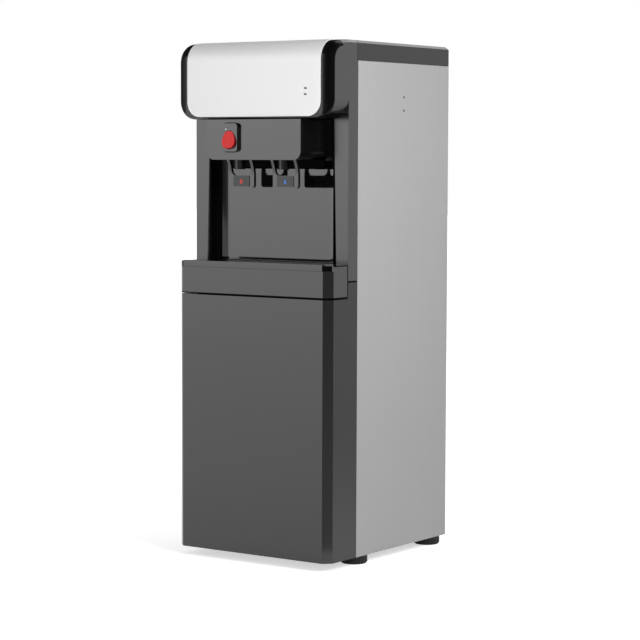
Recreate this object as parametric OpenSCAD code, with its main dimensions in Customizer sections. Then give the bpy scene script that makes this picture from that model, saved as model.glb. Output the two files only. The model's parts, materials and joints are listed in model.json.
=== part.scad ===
// Bottleless water cooler: a floor-standing, mains-fed hot and cold dispenser.
// X to the right, front towards -Y, Z up, origin on the floor under the middle of the body.

/* [Cabinet] */
// Width of the body
body_w = 340; // [330:1:370]
// Depth of the side panels, front edge to rear edge
side_d = 302; // [300:1:340]
// How far the front mouldings stand in front of the side panels
front_d = 88; // [86:1:94]
// Height of the levelling feet under the panels
foot_h = 16; // [14:1:24]
// Height of the side panels
panel_h = 886; // [884:1:920]
// Height of the top cover
cap_h = 36; // [34:1:40]
// Thickness of the sheet steel
sheet_t = 1.2; // [0.8:0.1:1.6]
// Wall thickness of the plastic mouldings
wall_t = 2.5; // [2:0.1:3]
// Bevel along the top edges
bevel = 5; // [3:0.5:8]
// Width of the folded returns on the side panels
return_w = 15; // [10:1:18]

/* [Lower front] */
// Height of the lower front panel
door_h = 466; // [460:1:470]
// Width of the chamfer on the upright front corners
corner_w = 13.7; // [10:0.1:16]
// How far its side strips rise beside the tray housing
strip_rise = 30.5; // [20:0.5:36]
// Seam that shows between two mouldings
seam = 1.2; // [0.8:0.1:2]
// Shadow gap between the lower panel and the tray housing
tray_gap = 2; // [1.5:0.1:3]

/* [Tray] */
// Height of the tray housing
tray_h = 58; // [54:1:62]
// Height of the lip along the front of the drip tray
lip_h = 11.3; // [9:0.1:13]
// Gap beside the drip tray basin, to the pillars' inner faces
basin_gap = 12; // [9:0.5:24]
// Depth of the basin below the housing's top
basin_d = 36; // [30:1:40]
// Wall of the basin
basin_t = 2; // [1.6:0.1:2.4]
// Thickness of the drip grille
grille_t = 3; // [2:0.5:4]
// Width of a slot in the grille
slot_w = 4.2; // [3:0.1:5]

/* [Alcove] */
// Width of a pillar beside the alcove
pillar_w = 31; // [30:1:36]
// How far the pillars stand in front of the side panels
pillar_d = 29.5; // [26:0.5:31]
// Radius of the upright inner corners of the alcove
alcove_r = 14; // [8:0.5:18]
// Wall of the alcove liner's cheeks
liner_t = 2; // [1.6:0.1:2.4]

/* [Head] */
// Height of the head
head_h = 139; // [134:1:144]
// How far the head's face is behind the foremost plane
head_set = 4; // [3:0.5:6]
// Radius of the roll from the face to the top
roll_r = 36; // [32:1:40]
// Radius of the lower corners, seen from the front
head_corner_r = 35; // [30:1:40]
// Width of the rounded side edge, seen from the front
edge_w = 16; // [12:1:18]
// Depth of the rounded side edge, seen from the side
edge_d = 11; // [9:0.5:13]
// Width of the silver fascia
fascia_w = 295; // [280:1:300]
// Thickness of the fascia
fascia_t = 2; // [1.6:0.1:2.4]
// How far the fascia stands proud of the bezel
fascia_proud = 1; // [0.6:0.1:1.2]
// Radius of the fascia's lower corners
fascia_r = 27; // [20:1:32]
// Height of the fascia's lower edge above the head's
fascia_rise = 4.4; // [3.6:0.1:6]
// Sideways place of the two indicator lenses
lens_x = 115.5; // [100:0.5:125]
// Height of the lower lens above the head's lower edge
lens_rise = 42.7; // [40:0.1:60]
// Distance between the two lenses
lens_gap = 10.6; // [9:0.1:14]
// Width of a lens
lens_w = 5.6; // [4:0.1:7]
// Height of a lens
lens_h = 2.8; // [2:0.1:4]

/* [Tap housing] */
// Width of the overhang above the taps
housing_w = 209; // [200:1:220]
// Height of the overhang
housing_h = 72.5; // [71:0.5:76]
// How far its face is behind the foremost plane
housing_set = 5; // [4.5:0.5:8]
// Radius of its lower corners
housing_r = 16; // [10:1:20]

/* [Safety button] */
// Sideways place of the button boss
boss_x = -48.5; // [-52:0.5:-46]
// Height of the boss centre above the housing's lower edge
boss_rise = 40; // [39:0.5:41]
// Width of the boss at its base
boss_w = 40; // [38:0.5:42]
// Height of the boss at its base
boss_h = 54; // [52:0.5:55]
// Radius of its corners
boss_r = 13; // [10:0.5:13.5]
// How far the boss stands proud
boss_d = 6.5; // [6:0.5:8]
// How far the boss's sides lean in
boss_lean = 2.5; // [2:0.5:4]
// Upper radius of the egg-shaped button
egg_r1 = 12; // [11:0.5:12.5]
// Lower radius of the button
egg_r2 = 14; // [13:0.5:14.5]
// Distance between the button's two centres
egg_len = 6.5; // [6:0.5:7]
// How far the button's lower end stands out
button_out = 6; // [5:0.5:7]

/* [Taps] */
// Distance from the middle to each tap
tap_x = 49; // [48:0.5:52]
// How far the nozzle axis is behind the foremost plane
tap_set = 31.5; // [31.5:0.1:32]
// Radius of a nozzle at the top
nozzle_r = 10; // [9:0.1:10.2]
// How far a nozzle hangs below the housing
nozzle_drop = 17; // [14:0.5:22]
// Width of a paddle lever
lever_w = 56; // [53:0.5:58]
// Width of a lever's arms
arm_w = 5.5; // [4.5:0.1:6.5]
// Thickness of a lever, front to back
lever_t = 6; // [5:0.1:7]
// How far the arms lean forward up to the housing
arm_lean = 7.5; // [6:0.5:8]
// How far a lever hangs below the housing
lever_drop = 50.5; // [46:0.5:56]
// Height of the pad that a cup pushes
pad_h = 22.5; // [18:0.5:24]
// Radius of a lever pin
pin_r = 2; // [1.5:0.1:2.2]
// Radius of a valve stem
stem_r = 2.5; // [2:0.1:2.6]

/* [Feet] */
// Radius of a foot
foot_r = 24.5; // [20:0.5:24.5]
// Radius of a foot's stud
stud_r = 4; // [3:0.1:5]
// Flutes around a foot
flutes = 20; // [12:1:24]

/* [Back and inside] */
// How far the rear cover is set in from the rear edge
recess_d = 35; // [32:1:40]
// Height of the open compressor bay
bay_h = 194; // [190:1:210]
// Radius of the condenser tube
coil_r = 2.4; // [2:0.1:3]
// Straight runs of the condenser
coil_runs = 17; // [9:2:21]
// Radius of the compressor shell
comp_r = 66; // [60:1:68]
// Height of the compressor shell
comp_h = 138; // [120:1:145]
// Wall of the compressor shell with the motor in it
comp_wall = 28; // [20:1:30]
// Radius of the cold tank
cold_r = 82; // [70:1:84]
// Height of the cold tank
cold_h = 190; // [170:1:200]
// Radius of the hot tank
hot_r = 56; // [50:1:58]
// Height of the hot tank
hot_h = 150; // [130:1:160]
// Radius of a filter cartridge
filter_r = 31; // [28:0.5:33]
// Height of a filter cartridge
filter_h = 300; // [260:1:310]
// Distance between two filter cartridges
filter_gap = 96; // [80:1:100]
// Bore of the water inlet, for 6.35 mm tube
inlet_r = 3.225; // [3.2:0.005:3.25]

/* [Clearances] */
// Clearance between two seated pieces
clear = 0.3; // [0.2:0.05:0.4]
// Radial clearance of a running fit
fit = 0.06; // [0.03:0.01:0.09]
// Clearance around the button and the lever slots
move_gap = 0.7; // [0.5:0.1:0.9]

/* [Hidden] */
$fn = 48;
eps = 0.5;
x_side = body_w / 2;
y_front = -(side_d + front_d) / 2;
y_side = y_front + front_d;
y_rear = y_side + side_d;
z_low = foot_h;
z_panel = z_low + panel_h;
z_top = z_panel + cap_h;
z_door = z_low + door_h;
z_strip = z_door + strip_rise;
z_tray = z_door + tray_gap;
z_shelf = z_tray + tray_h;
y_pillar = y_side - pillar_d;
x_pillar = x_side - pillar_w;
z_head = z_top - head_h;
y_head = y_front + head_set;
y_roll = y_head + roll_r;
z_roll = z_top - fascia_proud - roll_r;
y_cap = y_side - 2;
cap_seam = 1;
x_in = x_side - sheet_t - clear;

// Lower front and tray
lip_t = 2.4;
z_lip = z_shelf - lip_h + 1.8;
x_lip = x_side - corner_w - 1;
notch_t = 2.2;
basin_y0 = y_front + 6.6;
basin_y1 = y_side - 5.6;
basin_x = x_pillar - basin_gap;
z_basin = z_shelf - basin_d;
z_grille = z_shelf - 1 - grille_t;

// Head and housing
x_flat = x_side - edge_w;
lens_z0 = z_head + lens_rise;
y_house = y_front + housing_set;
z_house = z_head - housing_h;
x_house = housing_w / 2;

// Button
boss_z = z_house + boss_rise;
y_boss = y_house - boss_d;
egg_z2 = boss_z - boss_h / 2 + egg_r2 + 6.2;
egg_z1 = egg_z2 + egg_len;
button_z0 = egg_z2 - egg_r2;
button_z1 = egg_z1 + egg_r1;
button_pivot_z = button_z1 - 3;
button_pivot_y = y_boss + 4.2;
trunnion_r = 1.5;
lamp_x = boss_x - 7.5;
lamp_z = button_z1 + 2.9;
lamp_r = 1.3;
cup_y = y_house + wall_t + 6.5;
cup_z = button_pivot_z - 17;
cup_x = egg_r2 + 1.8;

// Taps
tap_y = y_front + tap_set;
z_nozzle = z_house - nozzle_drop;
lever_y0 = tap_y + 5;
lever_y1 = lever_y0 + lever_t;
z_lever = z_house - lever_drop;
arm_y0 = lever_y0 - arm_lean;
arm_y1 = arm_y0 + lever_t;
pivot_y = (arm_y0 + arm_y1) / 2;
pivot_z = z_house + 29.5;
hub_r = 5;
z_bend = z_lever + pad_h;
bend_steps = 5;
x_arm = lever_w / 2 - arm_w;
bar_y0 = tap_y + nozzle_r + clear;
bar_r = 2.5;
bar_y1 = bar_y0 + 2 * bar_r;
bar_z = z_house + 10.5;
valve_r = 7.5;
valve_y0 = bar_y1 + 11;
valve_y1 = valve_y0 + 18;
seat_y = valve_y0 + 6;
bridge_z = bar_z + bar_r + 3.6;
barb_y = y_side - 2;
knob_y1 = bar_y1 + clear + 2;
slot_y0 = arm_y0 - move_gap;
slot_y1 = arm_y1 + 7.2;
plate_w = lever_w - 20;
plate_t = 1.1;
mark_t = 0.4;

// Back and inside
y_cover = y_rear - recess_d;
z_bay = z_low + bay_h;
pan_y0 = y_side + 2 * sheet_t + 2 * clear;
pan_y1 = y_rear - sheet_t - clear;
pan_top = z_low + 20;
foot_x = x_side - 1 - foot_r;
foot_y0 = y_side + 30.3;
foot_y1 = y_rear - 1.5 - foot_r;
bulk_y = y_side + sheet_t + clear;
z_bulk = z_low + 484;
z_mid = z_low + 386;
z_tank = z_low + 604;
foam_w = 2 * cold_r + 66;
foam_y = y_side + 22 + foam_w / 2;
cavity_r = cold_r + 9;
foam_floor = 30;
foam_h = foam_floor + cold_h + 4;
jacket_t = 14;
comp_x = 8;
comp_y = y_cover - comp_r - 12;
leg_x = 84;
leg_y = 52;
grommet_h = 12;
z_leg = z_low + sheet_t + clear + grommet_h;
coil_pitch = 28;
coil_x = 118;
coil_y = y_cover + 14;
coil_z1 = z_panel - 110;
coil_z0 = coil_z1 - (coil_runs - 1) * coil_pitch;
wire_r = 0.8;
z_service = z_bay + 44;
tail_x = coil_x + 22;
z_tail = coil_z0 - 14;
inlet_x = -112;
drain_x = -62;
hot_x = drain_x;
hot_y = 26;
z_jacket = z_mid + sheet_t + clear;
z_foam = z_tank + sheet_t + clear;
lid_h = 26;
suction_x = -140;
suction_y = y_cover - 22;
feed_x = -132;
feed_y = y_side + 34;
power_x = 40;
solenoid_y0 = y_cover - sheet_t - 10 - clear - 44;
spout_y0 = y_cover - sheet_t - 16;
switch_inset = 58;
switch_x = x_side - switch_inset;
filter_y = y_front + wall_t + 12 + filter_r;
z_filter = z_low + 44;
neck_r = 22;
neck_h = 24;
z_neck = z_filter + filter_h;
z_port = z_neck + 52;
port_x = 36;
dryer_x = -112;
dryer_y = y_cover - 30;
dryer_z = z_low + 40;
dryer_h = 108;
line_r = 3;

// Building blocks

// A box between two corners
module box(lo, hi) {
    translate(lo) cube(hi - lo);
}

// A drawing in X and Z, run from y0 to y1
module along_y(y0, y1) {
    translate([0, y1, 0]) rotate([90, 0, 0]) linear_extrude(y1 - y0) children();
}

// A drawing in Y and Z, run from x0 to x1
module along_x(x0, x1) {
    translate([x0, 0, 0]) rotate([90, 0, 90]) linear_extrude(x1 - x0) children();
}

// A round bar along Y
module rod_y(x, z, y0, y1, r) {
    translate([x, y1, z]) rotate([90, 0, 0]) cylinder(h = y1 - y0, r = r);
}

// A round bar along X
module rod_x(y, z, x0, x1, r) {
    translate([x0, y, z]) rotate([0, 90, 0]) cylinder(h = x1 - x0, r = r);
}

// A rectangle with round corners, centred
module round_rect(w, h, r) {
    square([w - 2 * r, h], center = true);
    square([w, h - 2 * r], center = true);
    for (sx = [-1, 1], sy = [-1, 1]) translate([sx * (w / 2 - r), sy * (h / 2 - r)]) circle(r);
}

// A rectangle in X and Y whose two front corners are chamfered
module front_outline(inset, y_back) {
    c = corner_w - inset * (2 - sqrt(2));
    x = x_side - inset;
    y0 = y_front + inset;
    polygon([[-x, y_back], [-x, y0 + c], [-x + c, y0], [x - c, y0], [x, y0 + c], [x, y_back]]);
}

// An egg standing on its wide end, drawn in X and Z
module egg(grow) {
    r1 = egg_r1 + grow;
    r2 = egg_r2 + grow;
    a = asin((r2 - r1) / egg_len);
    translate([boss_x, egg_z1]) circle(r1);
    translate([boss_x, egg_z2]) circle(r2);
    translate([boss_x, 0]) polygon([
        [-r2 * cos(a), egg_z2 + r2 * sin(a)], [r2 * cos(a), egg_z2 + r2 * sin(a)],
        [r1 * cos(a), egg_z1 + r1 * sin(a)], [-r1 * cos(a), egg_z1 + r1 * sin(a)]]);
}

// Sweeps

function unit(v) = v / norm(v);

// Points of a route whose corners are rounded with a bend radius
function bend(a, b, c, r, n) =
    let (u = unit(a - b), w = unit(c - b), half = acos(u * w) / 2)
    let (d = r / tan(half), mid = b + unit(u + w) * r / sin(half))
    let (p = b + u * d - mid, q = b + w * d - mid, turn = 180 - 2 * half)
    [for (i = [0 : n]) mid + (sin(turn * (1 - i / n)) * p + sin(turn * i / n) * q) / sin(turn)];
function route(pts, r, n = 4) = concat([pts[0]],
    [for (i = [1 : len(pts) - 2]) each bend(pts[i - 1], pts[i], pts[i + 1], r, n)],
    [pts[len(pts) - 1]]);
function directions(p) = [for (i = [0 : len(p) - 1])
    i == 0 ? unit(p[1] - p[0]) :
    i == len(p) - 1 ? unit(p[i] - p[i - 1]) :
    unit(unit(p[i + 1] - p[i]) + unit(p[i] - p[i - 1]))];
function across(t) = unit(cross(t, abs(t[2]) < 0.9 ? [0, 0, 1] : [0, 1, 0]));
function side_steps(t) = [for (i = 0, s = across(t[0]); i < len(t);
    i = i + 1, s = i < len(t) ? unit(s - (s * t[i]) * t[i]) : s) s];

// A tube along a list of points
module tube(p, r, sides = 8) {
    t = directions(p);
    s = side_steps(t);
    rings = [for (i = [0 : len(p) - 1]) let (v = cross(t[i], s[i]))
        each [for (k = [0 : sides - 1]) p[i] + r * (cos(k * 360 / sides) * s[i] + sin(k * 360 / sides) * v)]];
    last = (len(p) - 1) * sides;
    walls = [for (i = [0 : len(p) - 2], k = [0 : sides - 1]) let (a = i * sides + k,
        b = i * sides + (k + 1) % sides) each [[a, b + sides, b], [a, a + sides, b + sides]]];
    ends = concat([for (k = [1 : sides - 2]) [0, k, k + 1]],
        [for (k = [1 : sides - 2]) [last, last + k + 1, last + k]]);
    polyhedron(rings, concat(walls, ends));
}

// A helical spring that starts at the origin and climbs Z
module spring(r, wire, length, turns) {
    steps = 10;
    tube([for (i = [0 : turns * steps]) [r * cos(i * 360 / steps), r * sin(i * 360 / steps),
        wire + i * (length - 2 * wire) / (turns * steps)]], wire, 6);
}

// Cabinet

foot_spots = [for (sx = [-1, 1], y = [foot_y0, foot_y1]) [sx * foot_x, y]];
leg_spots = [for (sx = [-1, 1], sy = [-1, 1]) [comp_x + sx * leg_x, comp_y + sy * leg_y]];

module base_pan() {
    boss_top = z_low + 18;
    color("dimgray") difference() {
        union() {
            difference() {
                box([-x_in, pan_y0, z_low], [x_in, pan_y1, pan_top]);
                box([-x_in + sheet_t, pan_y0 + sheet_t, z_low + sheet_t],
                    [x_in - sheet_t, pan_y1 - sheet_t, pan_top + 1]);
            }
            for (p = foot_spots) translate([p[0], p[1], z_low]) cylinder(h = boss_top - z_low, r = stud_r + 5);
            for (p = leg_spots) translate([p[0], p[1], z_low]) cylinder(h = grommet_h + 10, r = 3);
        }
        for (p = foot_spots) translate([p[0], p[1], z_low - 1])
            cylinder(h = boss_top - z_low + 2, r = stud_r + fit);
        for (i = [0 : 6]) box([-60 + i * 20, -40, z_low - 1], [-52 + i * 20, 0, z_low + 2 * sheet_t]);
    }
}

module foot(sx, y) {
    top = z_low - clear;
    color("black") translate([sx * foot_x, y, 0]) {
        difference() {
            union() {
                translate([0, 0, 3]) cylinder(h = top - 3, r = foot_r);
                cylinder(h = 3, r1 = foot_r - 2.5, r2 = foot_r);
            }
            for (i = [0 : flutes - 1]) rotate([0, 0, i * 360 / flutes])
                translate([foot_r + 1.2, 0, -1]) cylinder(h = top - 2, r = 2.6, $fn = 24);
        }
        cylinder(h = z_low + 17, r = stud_r);
    }
}

panel_screw_y = y_side + 148.7;
panel_screw_z = [z_top - 97, z_top - 121.5];

module side_panel() {
    color("silver") difference() {
        union() {
            box([x_side - sheet_t, y_side, z_low], [x_side, y_rear, z_panel]);
            box([x_side - return_w, y_side, z_low], [x_side, y_side + sheet_t, z_panel]);
            box([x_side - return_w, y_rear - sheet_t, z_low], [x_side, y_rear, z_panel]);
        }
        for (z = panel_screw_z) rod_x(panel_screw_y, z, x_side - 2 * sheet_t, x_side + 1, 2.3);
    }
}

module side_panel_right() {
    side_panel();
}

module side_panel_left() {
    mirror([1, 0, 0]) side_panel();
}

// One pressed louvre, open at its lower edge
module louvre(x, z) {
    along_x(x - 34, x + 34) polygon([[y_cover - eps, z], [y_cover + 5, z],
        [y_cover + 5, z + 1.5], [y_cover - eps, z + 9]]);
}

cover_screws = [for (sx = [-1, 1], z = [z_bay + 14, (z_bay + z_panel) / 2, z_panel - 16])
    [sx * (x_in - 14), z]];
louvre_spots = [for (x = [-90, 0, 90], i = [0 : 4]) [x, z_panel - 84 + i * 14]];

module rear_cover() {
    top = z_panel - clear - 1;
    color("gainsboro") difference() {
        union() {
            box([-x_in, y_cover - sheet_t, z_bay], [x_in, y_cover, top]);
            for (s = [-1, 1]) box([s > 0 ? x_in - sheet_t : -x_in, y_cover - sheet_t, z_bay],
                [s > 0 ? x_in : -x_in + sheet_t, y_cover + 10, top]);
            box([-x_in, y_cover - sheet_t, z_bay], [x_in, y_cover + 6, z_bay + sheet_t]);
            for (p = louvre_spots) louvre(p[0], p[1]);
        }
        for (p = louvre_spots) translate([0, 0, -1]) along_x(p[0] - 32.8, p[0] + 32.8)
            polygon([[y_cover - 2 * sheet_t, p[1] - 1], [y_cover + 3.8, p[1] - 1],
                [y_cover + 3.8, p[1] + 1.5], [y_cover - 2 * sheet_t, p[1] + 9]]);
        for (p = cover_screws) rod_y(p[0], p[1], y_cover - 3, y_cover + 3, 2.1);
        rod_y(inlet_x, z_service, y_cover - 3, y_cover + 3, 9 + clear);
        rod_y(drain_x, z_service, y_cover - 3, y_cover + 3, 9 + clear);
        translate([power_x, 0, z_service]) along_y(y_cover - 3, y_cover + 3)
            square([27.6, 20.6], center = true);
        translate([switch_x, 0, z_service]) along_y(y_cover - 3, y_cover + 3)
            square([26.6, 44.6], center = true);
    }
}

// The bevelled outline of the top, drawn in X and Z
module top_outline(inset, z0) {
    x = x_side - inset;
    z = z_top - inset;
    polygon([[-x, z0], [x, z0], [x, z - bevel], [x - bevel, z], [-x + bevel, z], [-x, z - bevel]]);
}

module top_form(inset, z0) {
    z = z_top - inset;
    y = y_rear - inset;
    intersection() {
        along_y(y_cap + inset, y) top_outline(inset, z0);
        along_x(-x_side, x_side) polygon([[y_cap - 1, z0], [y, z0], [y, z - bevel],
            [y - bevel, z], [y_cap - 1, z]]);
    }
}

module top_cover() {
    rib_z = z_panel - 8;
    color("#4c4d4f") union() {
        difference() {
            top_form(0, z_panel + clear);
            top_form(wall_t, z_panel - 1);
        }
        for (s = [-1, 1]) box([s > 0 ? x_in - 2 : -x_in, y_cap + 12, rib_z],
            [s > 0 ? x_in : -x_in + 2, y_cover - 10, z_panel + clear]);
        for (s = [-1, 1]) box([s > 0 ? x_in - 2 : -x_in - 1, y_cap + 12, z_panel + clear],
            [s > 0 ? x_in + 1 : -x_in + 2, y_cover - 10, z_panel + 6]);
    }
}

// Lower front

module front_panel() {
    back = y_side - clear;
    color("#5a5b5d") union() {
        difference() {
            translate([0, 0, z_low]) linear_extrude(door_h) front_outline(0, back);
            translate([0, 0, z_low + wall_t]) linear_extrude(door_h - 2 * wall_t)
                front_outline(wall_t, back + 1);
        }
        for (s = [-1, 1]) box([s > 0 ? x_side - wall_t : -x_side, y_pillar, z_door - 1],
            [s > 0 ? x_side : -x_side + wall_t, back, z_strip]);
        for (s = [-1, 1], z = [z_low + 120, z_low + 240, z_low + 360])
            box([s > 0 ? x_side - 12 : -x_side + 1, y_pillar - 20, z],
                [s > 0 ? x_side - 1 : -x_side + 12, back, z + 2]);
    }
}

module front_bulkhead() {
    color("gray") difference() {
        box([-x_in, bulk_y, z_low + clear], [x_in, bulk_y + sheet_t, z_bulk]);
        for (x = [-port_x, port_x]) rod_y(x, z_port, bulk_y - 1, bulk_y + 3, 6);
        for (s = [-1, 1], z = [z_low + 80, z_low + 280]) rod_y(s * (x_in - 6), z, bulk_y - 1, bulk_y + 3, 2);
    }
}

module tray_housing() {
    seam_y = y_pillar - seam / 2;
    back = y_side - 2 * clear;
    x_rear = x_pillar - 2 * clear;
    r = 7;
    well = basin_x + 1;
    color("#5a5b5d") difference() {
        union() {
            difference() {
                union() {
                    intersection() {
                        translate([0, 0, z_tray]) linear_extrude(tray_h) front_outline(0, seam_y);
                        along_x(-x_side, x_side) union() {
                            translate([y_front, z_tray]) square([seam_y - y_front - r, tray_h]);
                            translate([y_front, z_tray + r]) square([seam_y - y_front, tray_h - r]);
                            translate([seam_y - r, z_tray + r]) circle(r);
                        }
                    }
                    box([-x_rear, seam_y - 10, z_tray], [x_rear, back, z_shelf]);
                }
                translate([0, 0, z_tray - 1]) linear_extrude(tray_h + 1 - wall_t)
                    front_outline(wall_t, seam_y - wall_t);
                box([-x_rear + wall_t, seam_y - 20, z_tray - 1], [x_rear - wall_t, back - wall_t, z_shelf - wall_t]);
            }
            box([-well - 2, basin_y0 - 2.4, z_basin - 2 - clear], [well + 2, basin_y1 + 2.4, z_shelf - 1]);
            box([-x_lip, y_front + 1, z_lip - 3], [x_lip, y_front + 4.7, z_shelf - 1]);
            intersection() {
                translate([0, 0, z_lip - 3]) linear_extrude(z_shelf - z_lip + 2) front_outline(1, seam_y - 20);
                for (s = [-1, 1]) box([s > 0 ? x_lip - 3 : -x_side, y_front, z_lip - 4],
                    [s > 0 ? x_side : -x_lip + 3, y_front + corner_w + 2, z_shelf]);
            }
        }
        box([-well, basin_y0 - 0.6, z_basin - clear], [well, basin_y1 + 0.6, z_shelf + 1]);
        box([-x_lip, y_front - 1, z_lip - clear], [x_lip, y_front + lip_t + clear, z_shelf + 1]);
        translate([0, 0, z_lip - clear]) linear_extrude(tray_h) difference() {
            for (s = [-1, 1]) translate([s > 0 ? x_lip - 1 : -x_side - 1, y_front - 1])
                square([x_side - x_lip + 2, corner_w + 1]);
            front_outline(notch_t, y_side);
        }
    }
}

module drip_tray() {
    ledge = 3;
    color("#151515") difference() {
        box([-basin_x, basin_y0, z_basin], [basin_x, basin_y1, z_shelf - 0.4]);
        box([-basin_x + basin_t, basin_y0 + basin_t, z_grille - clear],
            [basin_x - basin_t, basin_y1 - basin_t, z_shelf + 1]);
        box([-basin_x + basin_t + ledge, basin_y0 + basin_t + ledge, z_basin + basin_t],
            [basin_x - basin_t - ledge, basin_y1 - basin_t - ledge, z_shelf + 1]);
    }
}

module tray_lip() {
    color("#606163") union() {
        box([-x_lip + clear, y_front, z_lip], [x_lip - clear, y_front + lip_t, z_shelf + 1.8]);
        box([-x_lip + clear, y_front, z_shelf + clear], [x_lip - clear, basin_y0 + basin_t, z_shelf + 1.8]);
        box([-basin_x + 10, basin_y0, z_shelf - 0.4], [basin_x - 10, basin_y0 + basin_t, z_shelf + 1]);
    }
}

module drip_grille() {
    gap = 0.4;
    x = basin_x - basin_t - gap;
    y0 = basin_y0 + basin_t + gap;
    y1 = basin_y1 - basin_t - gap;
    pitch = 2 * slot_w;
    count = floor((2 * x - 16) / pitch);
    mid = (y0 + y1) / 2;
    color("#1c1c1c") difference() {
        translate([0, mid, z_grille]) linear_extrude(grille_t) round_rect(2 * x, y1 - y0, 4);
        for (i = [0 : count - 1], s = [-1, 1])
            translate([(i - (count - 1) / 2) * pitch, mid + s * ((y1 - y0) / 4 - 1), z_grille - 1])
                linear_extrude(grille_t + 2) round_rect(slot_w, (y1 - y0) / 2 - 10, slot_w / 2 - 0.1);
    }
}

// Head

// The rounded head, from its face back to the pillars, as one convex form
module head_form(inset) {
    back = y_pillar + (inset > 0 ? 1 : 0);
    hull() {
        for (t = [0 : 18 : 90]) {
            w = x_flat + edge_w * sin(t) - inset;
            d = edge_d * (1 - cos(t)) + inset;
            c = head_corner_r - edge_w * (1 - sin(t)) - inset;
            z0 = z_head + 3 * (1 - sin(t)) + inset;
            rod_x(y_roll, z_roll, -w, w, roll_r - d, $fn = 64);
            for (s = [-1, 1]) rod_y(s * (w - c), z0 + c, y_head + d, back, c, $fn = 48);
        }
        along_y(back - 1, back) top_outline(inset, z_head + head_corner_r);
    }
}

// What lies behind the bezel's parting line
module behind_bezel(gap) {
    along_x(-x_side - 1, x_side + 1) union() {
        translate([y_head + edge_d + gap, z_head - 10]) square([side_d, z_roll - z_head + 10]);
        translate([y_roll, z_roll]) circle(roll_r - edge_d - gap);
        translate([y_roll + gap, z_head - 10]) square([side_d, head_h + 20]);
    }
}

module upper_frame() {
    z0 = z_strip + seam;
    back = y_side - clear;
    top_back = y_cap - cap_seam;
    x_wall = x_side - wall_t;
    color("#4c4d4f") difference() {
        union() {
            intersection() {
                head_form(0);
                behind_bezel(clear);
            }
            difference() {
                along_y(y_pillar - 0.01, top_back) top_outline(0, z0);
                box([-x_side - 1, y_pillar - 1, z0 - 1], [x_side + 1, y_pillar, z_head + head_corner_r]);
            }
            box([-x_side, top_back - 1, z0], [x_side, back, z_panel - clear]);
        }
        head_form(wall_t);
        box([-x_pillar, y_pillar - 1, z0 - 1], [x_pillar, back + 1, z_head]);
        box([-x_wall, y_pillar + 0.5, z_head + wall_t], [x_wall, back + 1, z_panel - wall_t]);
        box([-x_wall, y_pillar + 0.5, z_head + wall_t], [x_wall, top_back - wall_t, z_top - wall_t - bevel]);
        for (s = [-1, 1]) box([s > 0 ? x_pillar + wall_t : -x_wall, y_pillar + wall_t, z0 + wall_t],
            [s > 0 ? x_wall : -x_pillar - wall_t, back + 1, z_head - wall_t]);
        box([-x_house + 8, y_house + 10, z_head - 1], [x_house - 8, y_pillar - 6, z_head + wall_t + 1]);
    }
}

// The outline of the silver fascia, drawn in X and Z
module fascia_outline(grow) {
    w = fascia_w / 2 + grow;
    r = fascia_r + grow;
    z0 = z_head + fascia_rise - grow;
    translate([-w + r, z0]) square([2 * (w - r), head_h]);
    translate([-w, z0 + r]) square([2 * w, head_h]);
    for (s = [-1, 1]) translate([s * (w - r), z0 + r]) circle(r);
}

// The fascia's side view, drawn in Y and Z
module fascia_profile(proud, under, grow) {
    difference() {
        union() {
            translate([y_head - proud, z_head]) square([roll_r, z_roll - z_head]);
            translate([y_roll, z_roll]) circle(roll_r + proud, $fn = 96);
        }
        translate([y_head + under, z_head - 1]) square([side_d, z_roll - z_head + 1]);
        translate([y_roll, z_roll]) circle(roll_r - under, $fn = 96);
        translate([y_roll + grow, z_head - 1]) square([side_d, 2 * head_h]);
        translate([y_roll - roll_r - 5, z_head - 50]) square([200, 50]);
    }
}

module head_bezel() {
    color("#0c0c0d") difference() {
        head_form(0);
        behind_bezel(0);
        head_form(wall_t);
        intersection() {
            along_x(-x_side, x_side) fascia_profile(3, fascia_t - fascia_proud + 0.1, 1);
            along_y(y_head - 5, y_pillar) fascia_outline(0.2);
        }
        for (i = [0, 1]) translate([lens_x, 0, lens_z0 + i * lens_gap])
            along_y(y_head - 5, y_head + 5) square([lens_w - 0.6, lens_h - 0.6], center = true);
    }
}

module head_fascia() {
    color("#e8eaec") difference() {
        intersection() {
            along_x(-x_side, x_side) fascia_profile(fascia_proud, fascia_t - fascia_proud, 0);
            along_y(y_head - 5, y_pillar) fascia_outline(0);
        }
        for (i = [0, 1]) translate([lens_x, 0, lens_z0 + i * lens_gap])
            along_y(y_head - 5, y_head + 5) square([lens_w, lens_h], center = true);
    }
}

module signal_lenses() {
    front = y_head - fascia_proud;
    color("#222222") for (i = [0, 1]) translate([lens_x, 0, lens_z0 + i * lens_gap]) {
        along_y(front, y_head + fascia_t - fascia_proud + 0.1)
            square([lens_w - 0.2, lens_h - 0.2], center = true);
        along_y(front + 1, y_head + wall_t + 3) square([lens_w - 0.8, lens_h - 0.8], center = true);
    }
    color("white") rod_y(lamp_x, lamp_z, y_boss - 0.2, y_boss + 3.9, lamp_r);
}

// Alcove and tap housing

module alcove_liner() {
    x = x_pillar - clear;
    xi = x - liner_t;
    r = alcove_r;
    y0 = y_pillar + 0.6;
    color("#58595b") difference() {
        box([-x, y0, z_shelf + clear], [x, y_side + wall_t, z_head - clear]);
        translate([0, 0, z_shelf - 1]) linear_extrude(head_h + housing_h + z_head) union() {
            translate([-xi, y0 - 1]) square([2 * xi, y_side - y0 + 1 - r]);
            translate([-xi + r, y0 - 1]) square([2 * (xi - r), y_side - y0 + 1]);
            for (s = [-1, 1]) translate([s * (xi - r), y_side - r]) circle(r);
        }
        for (s = [-1, 1]) rod_y(s * tap_x, bar_z, y_side - 1, y_side + 4, 5.4);
    }
}

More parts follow.
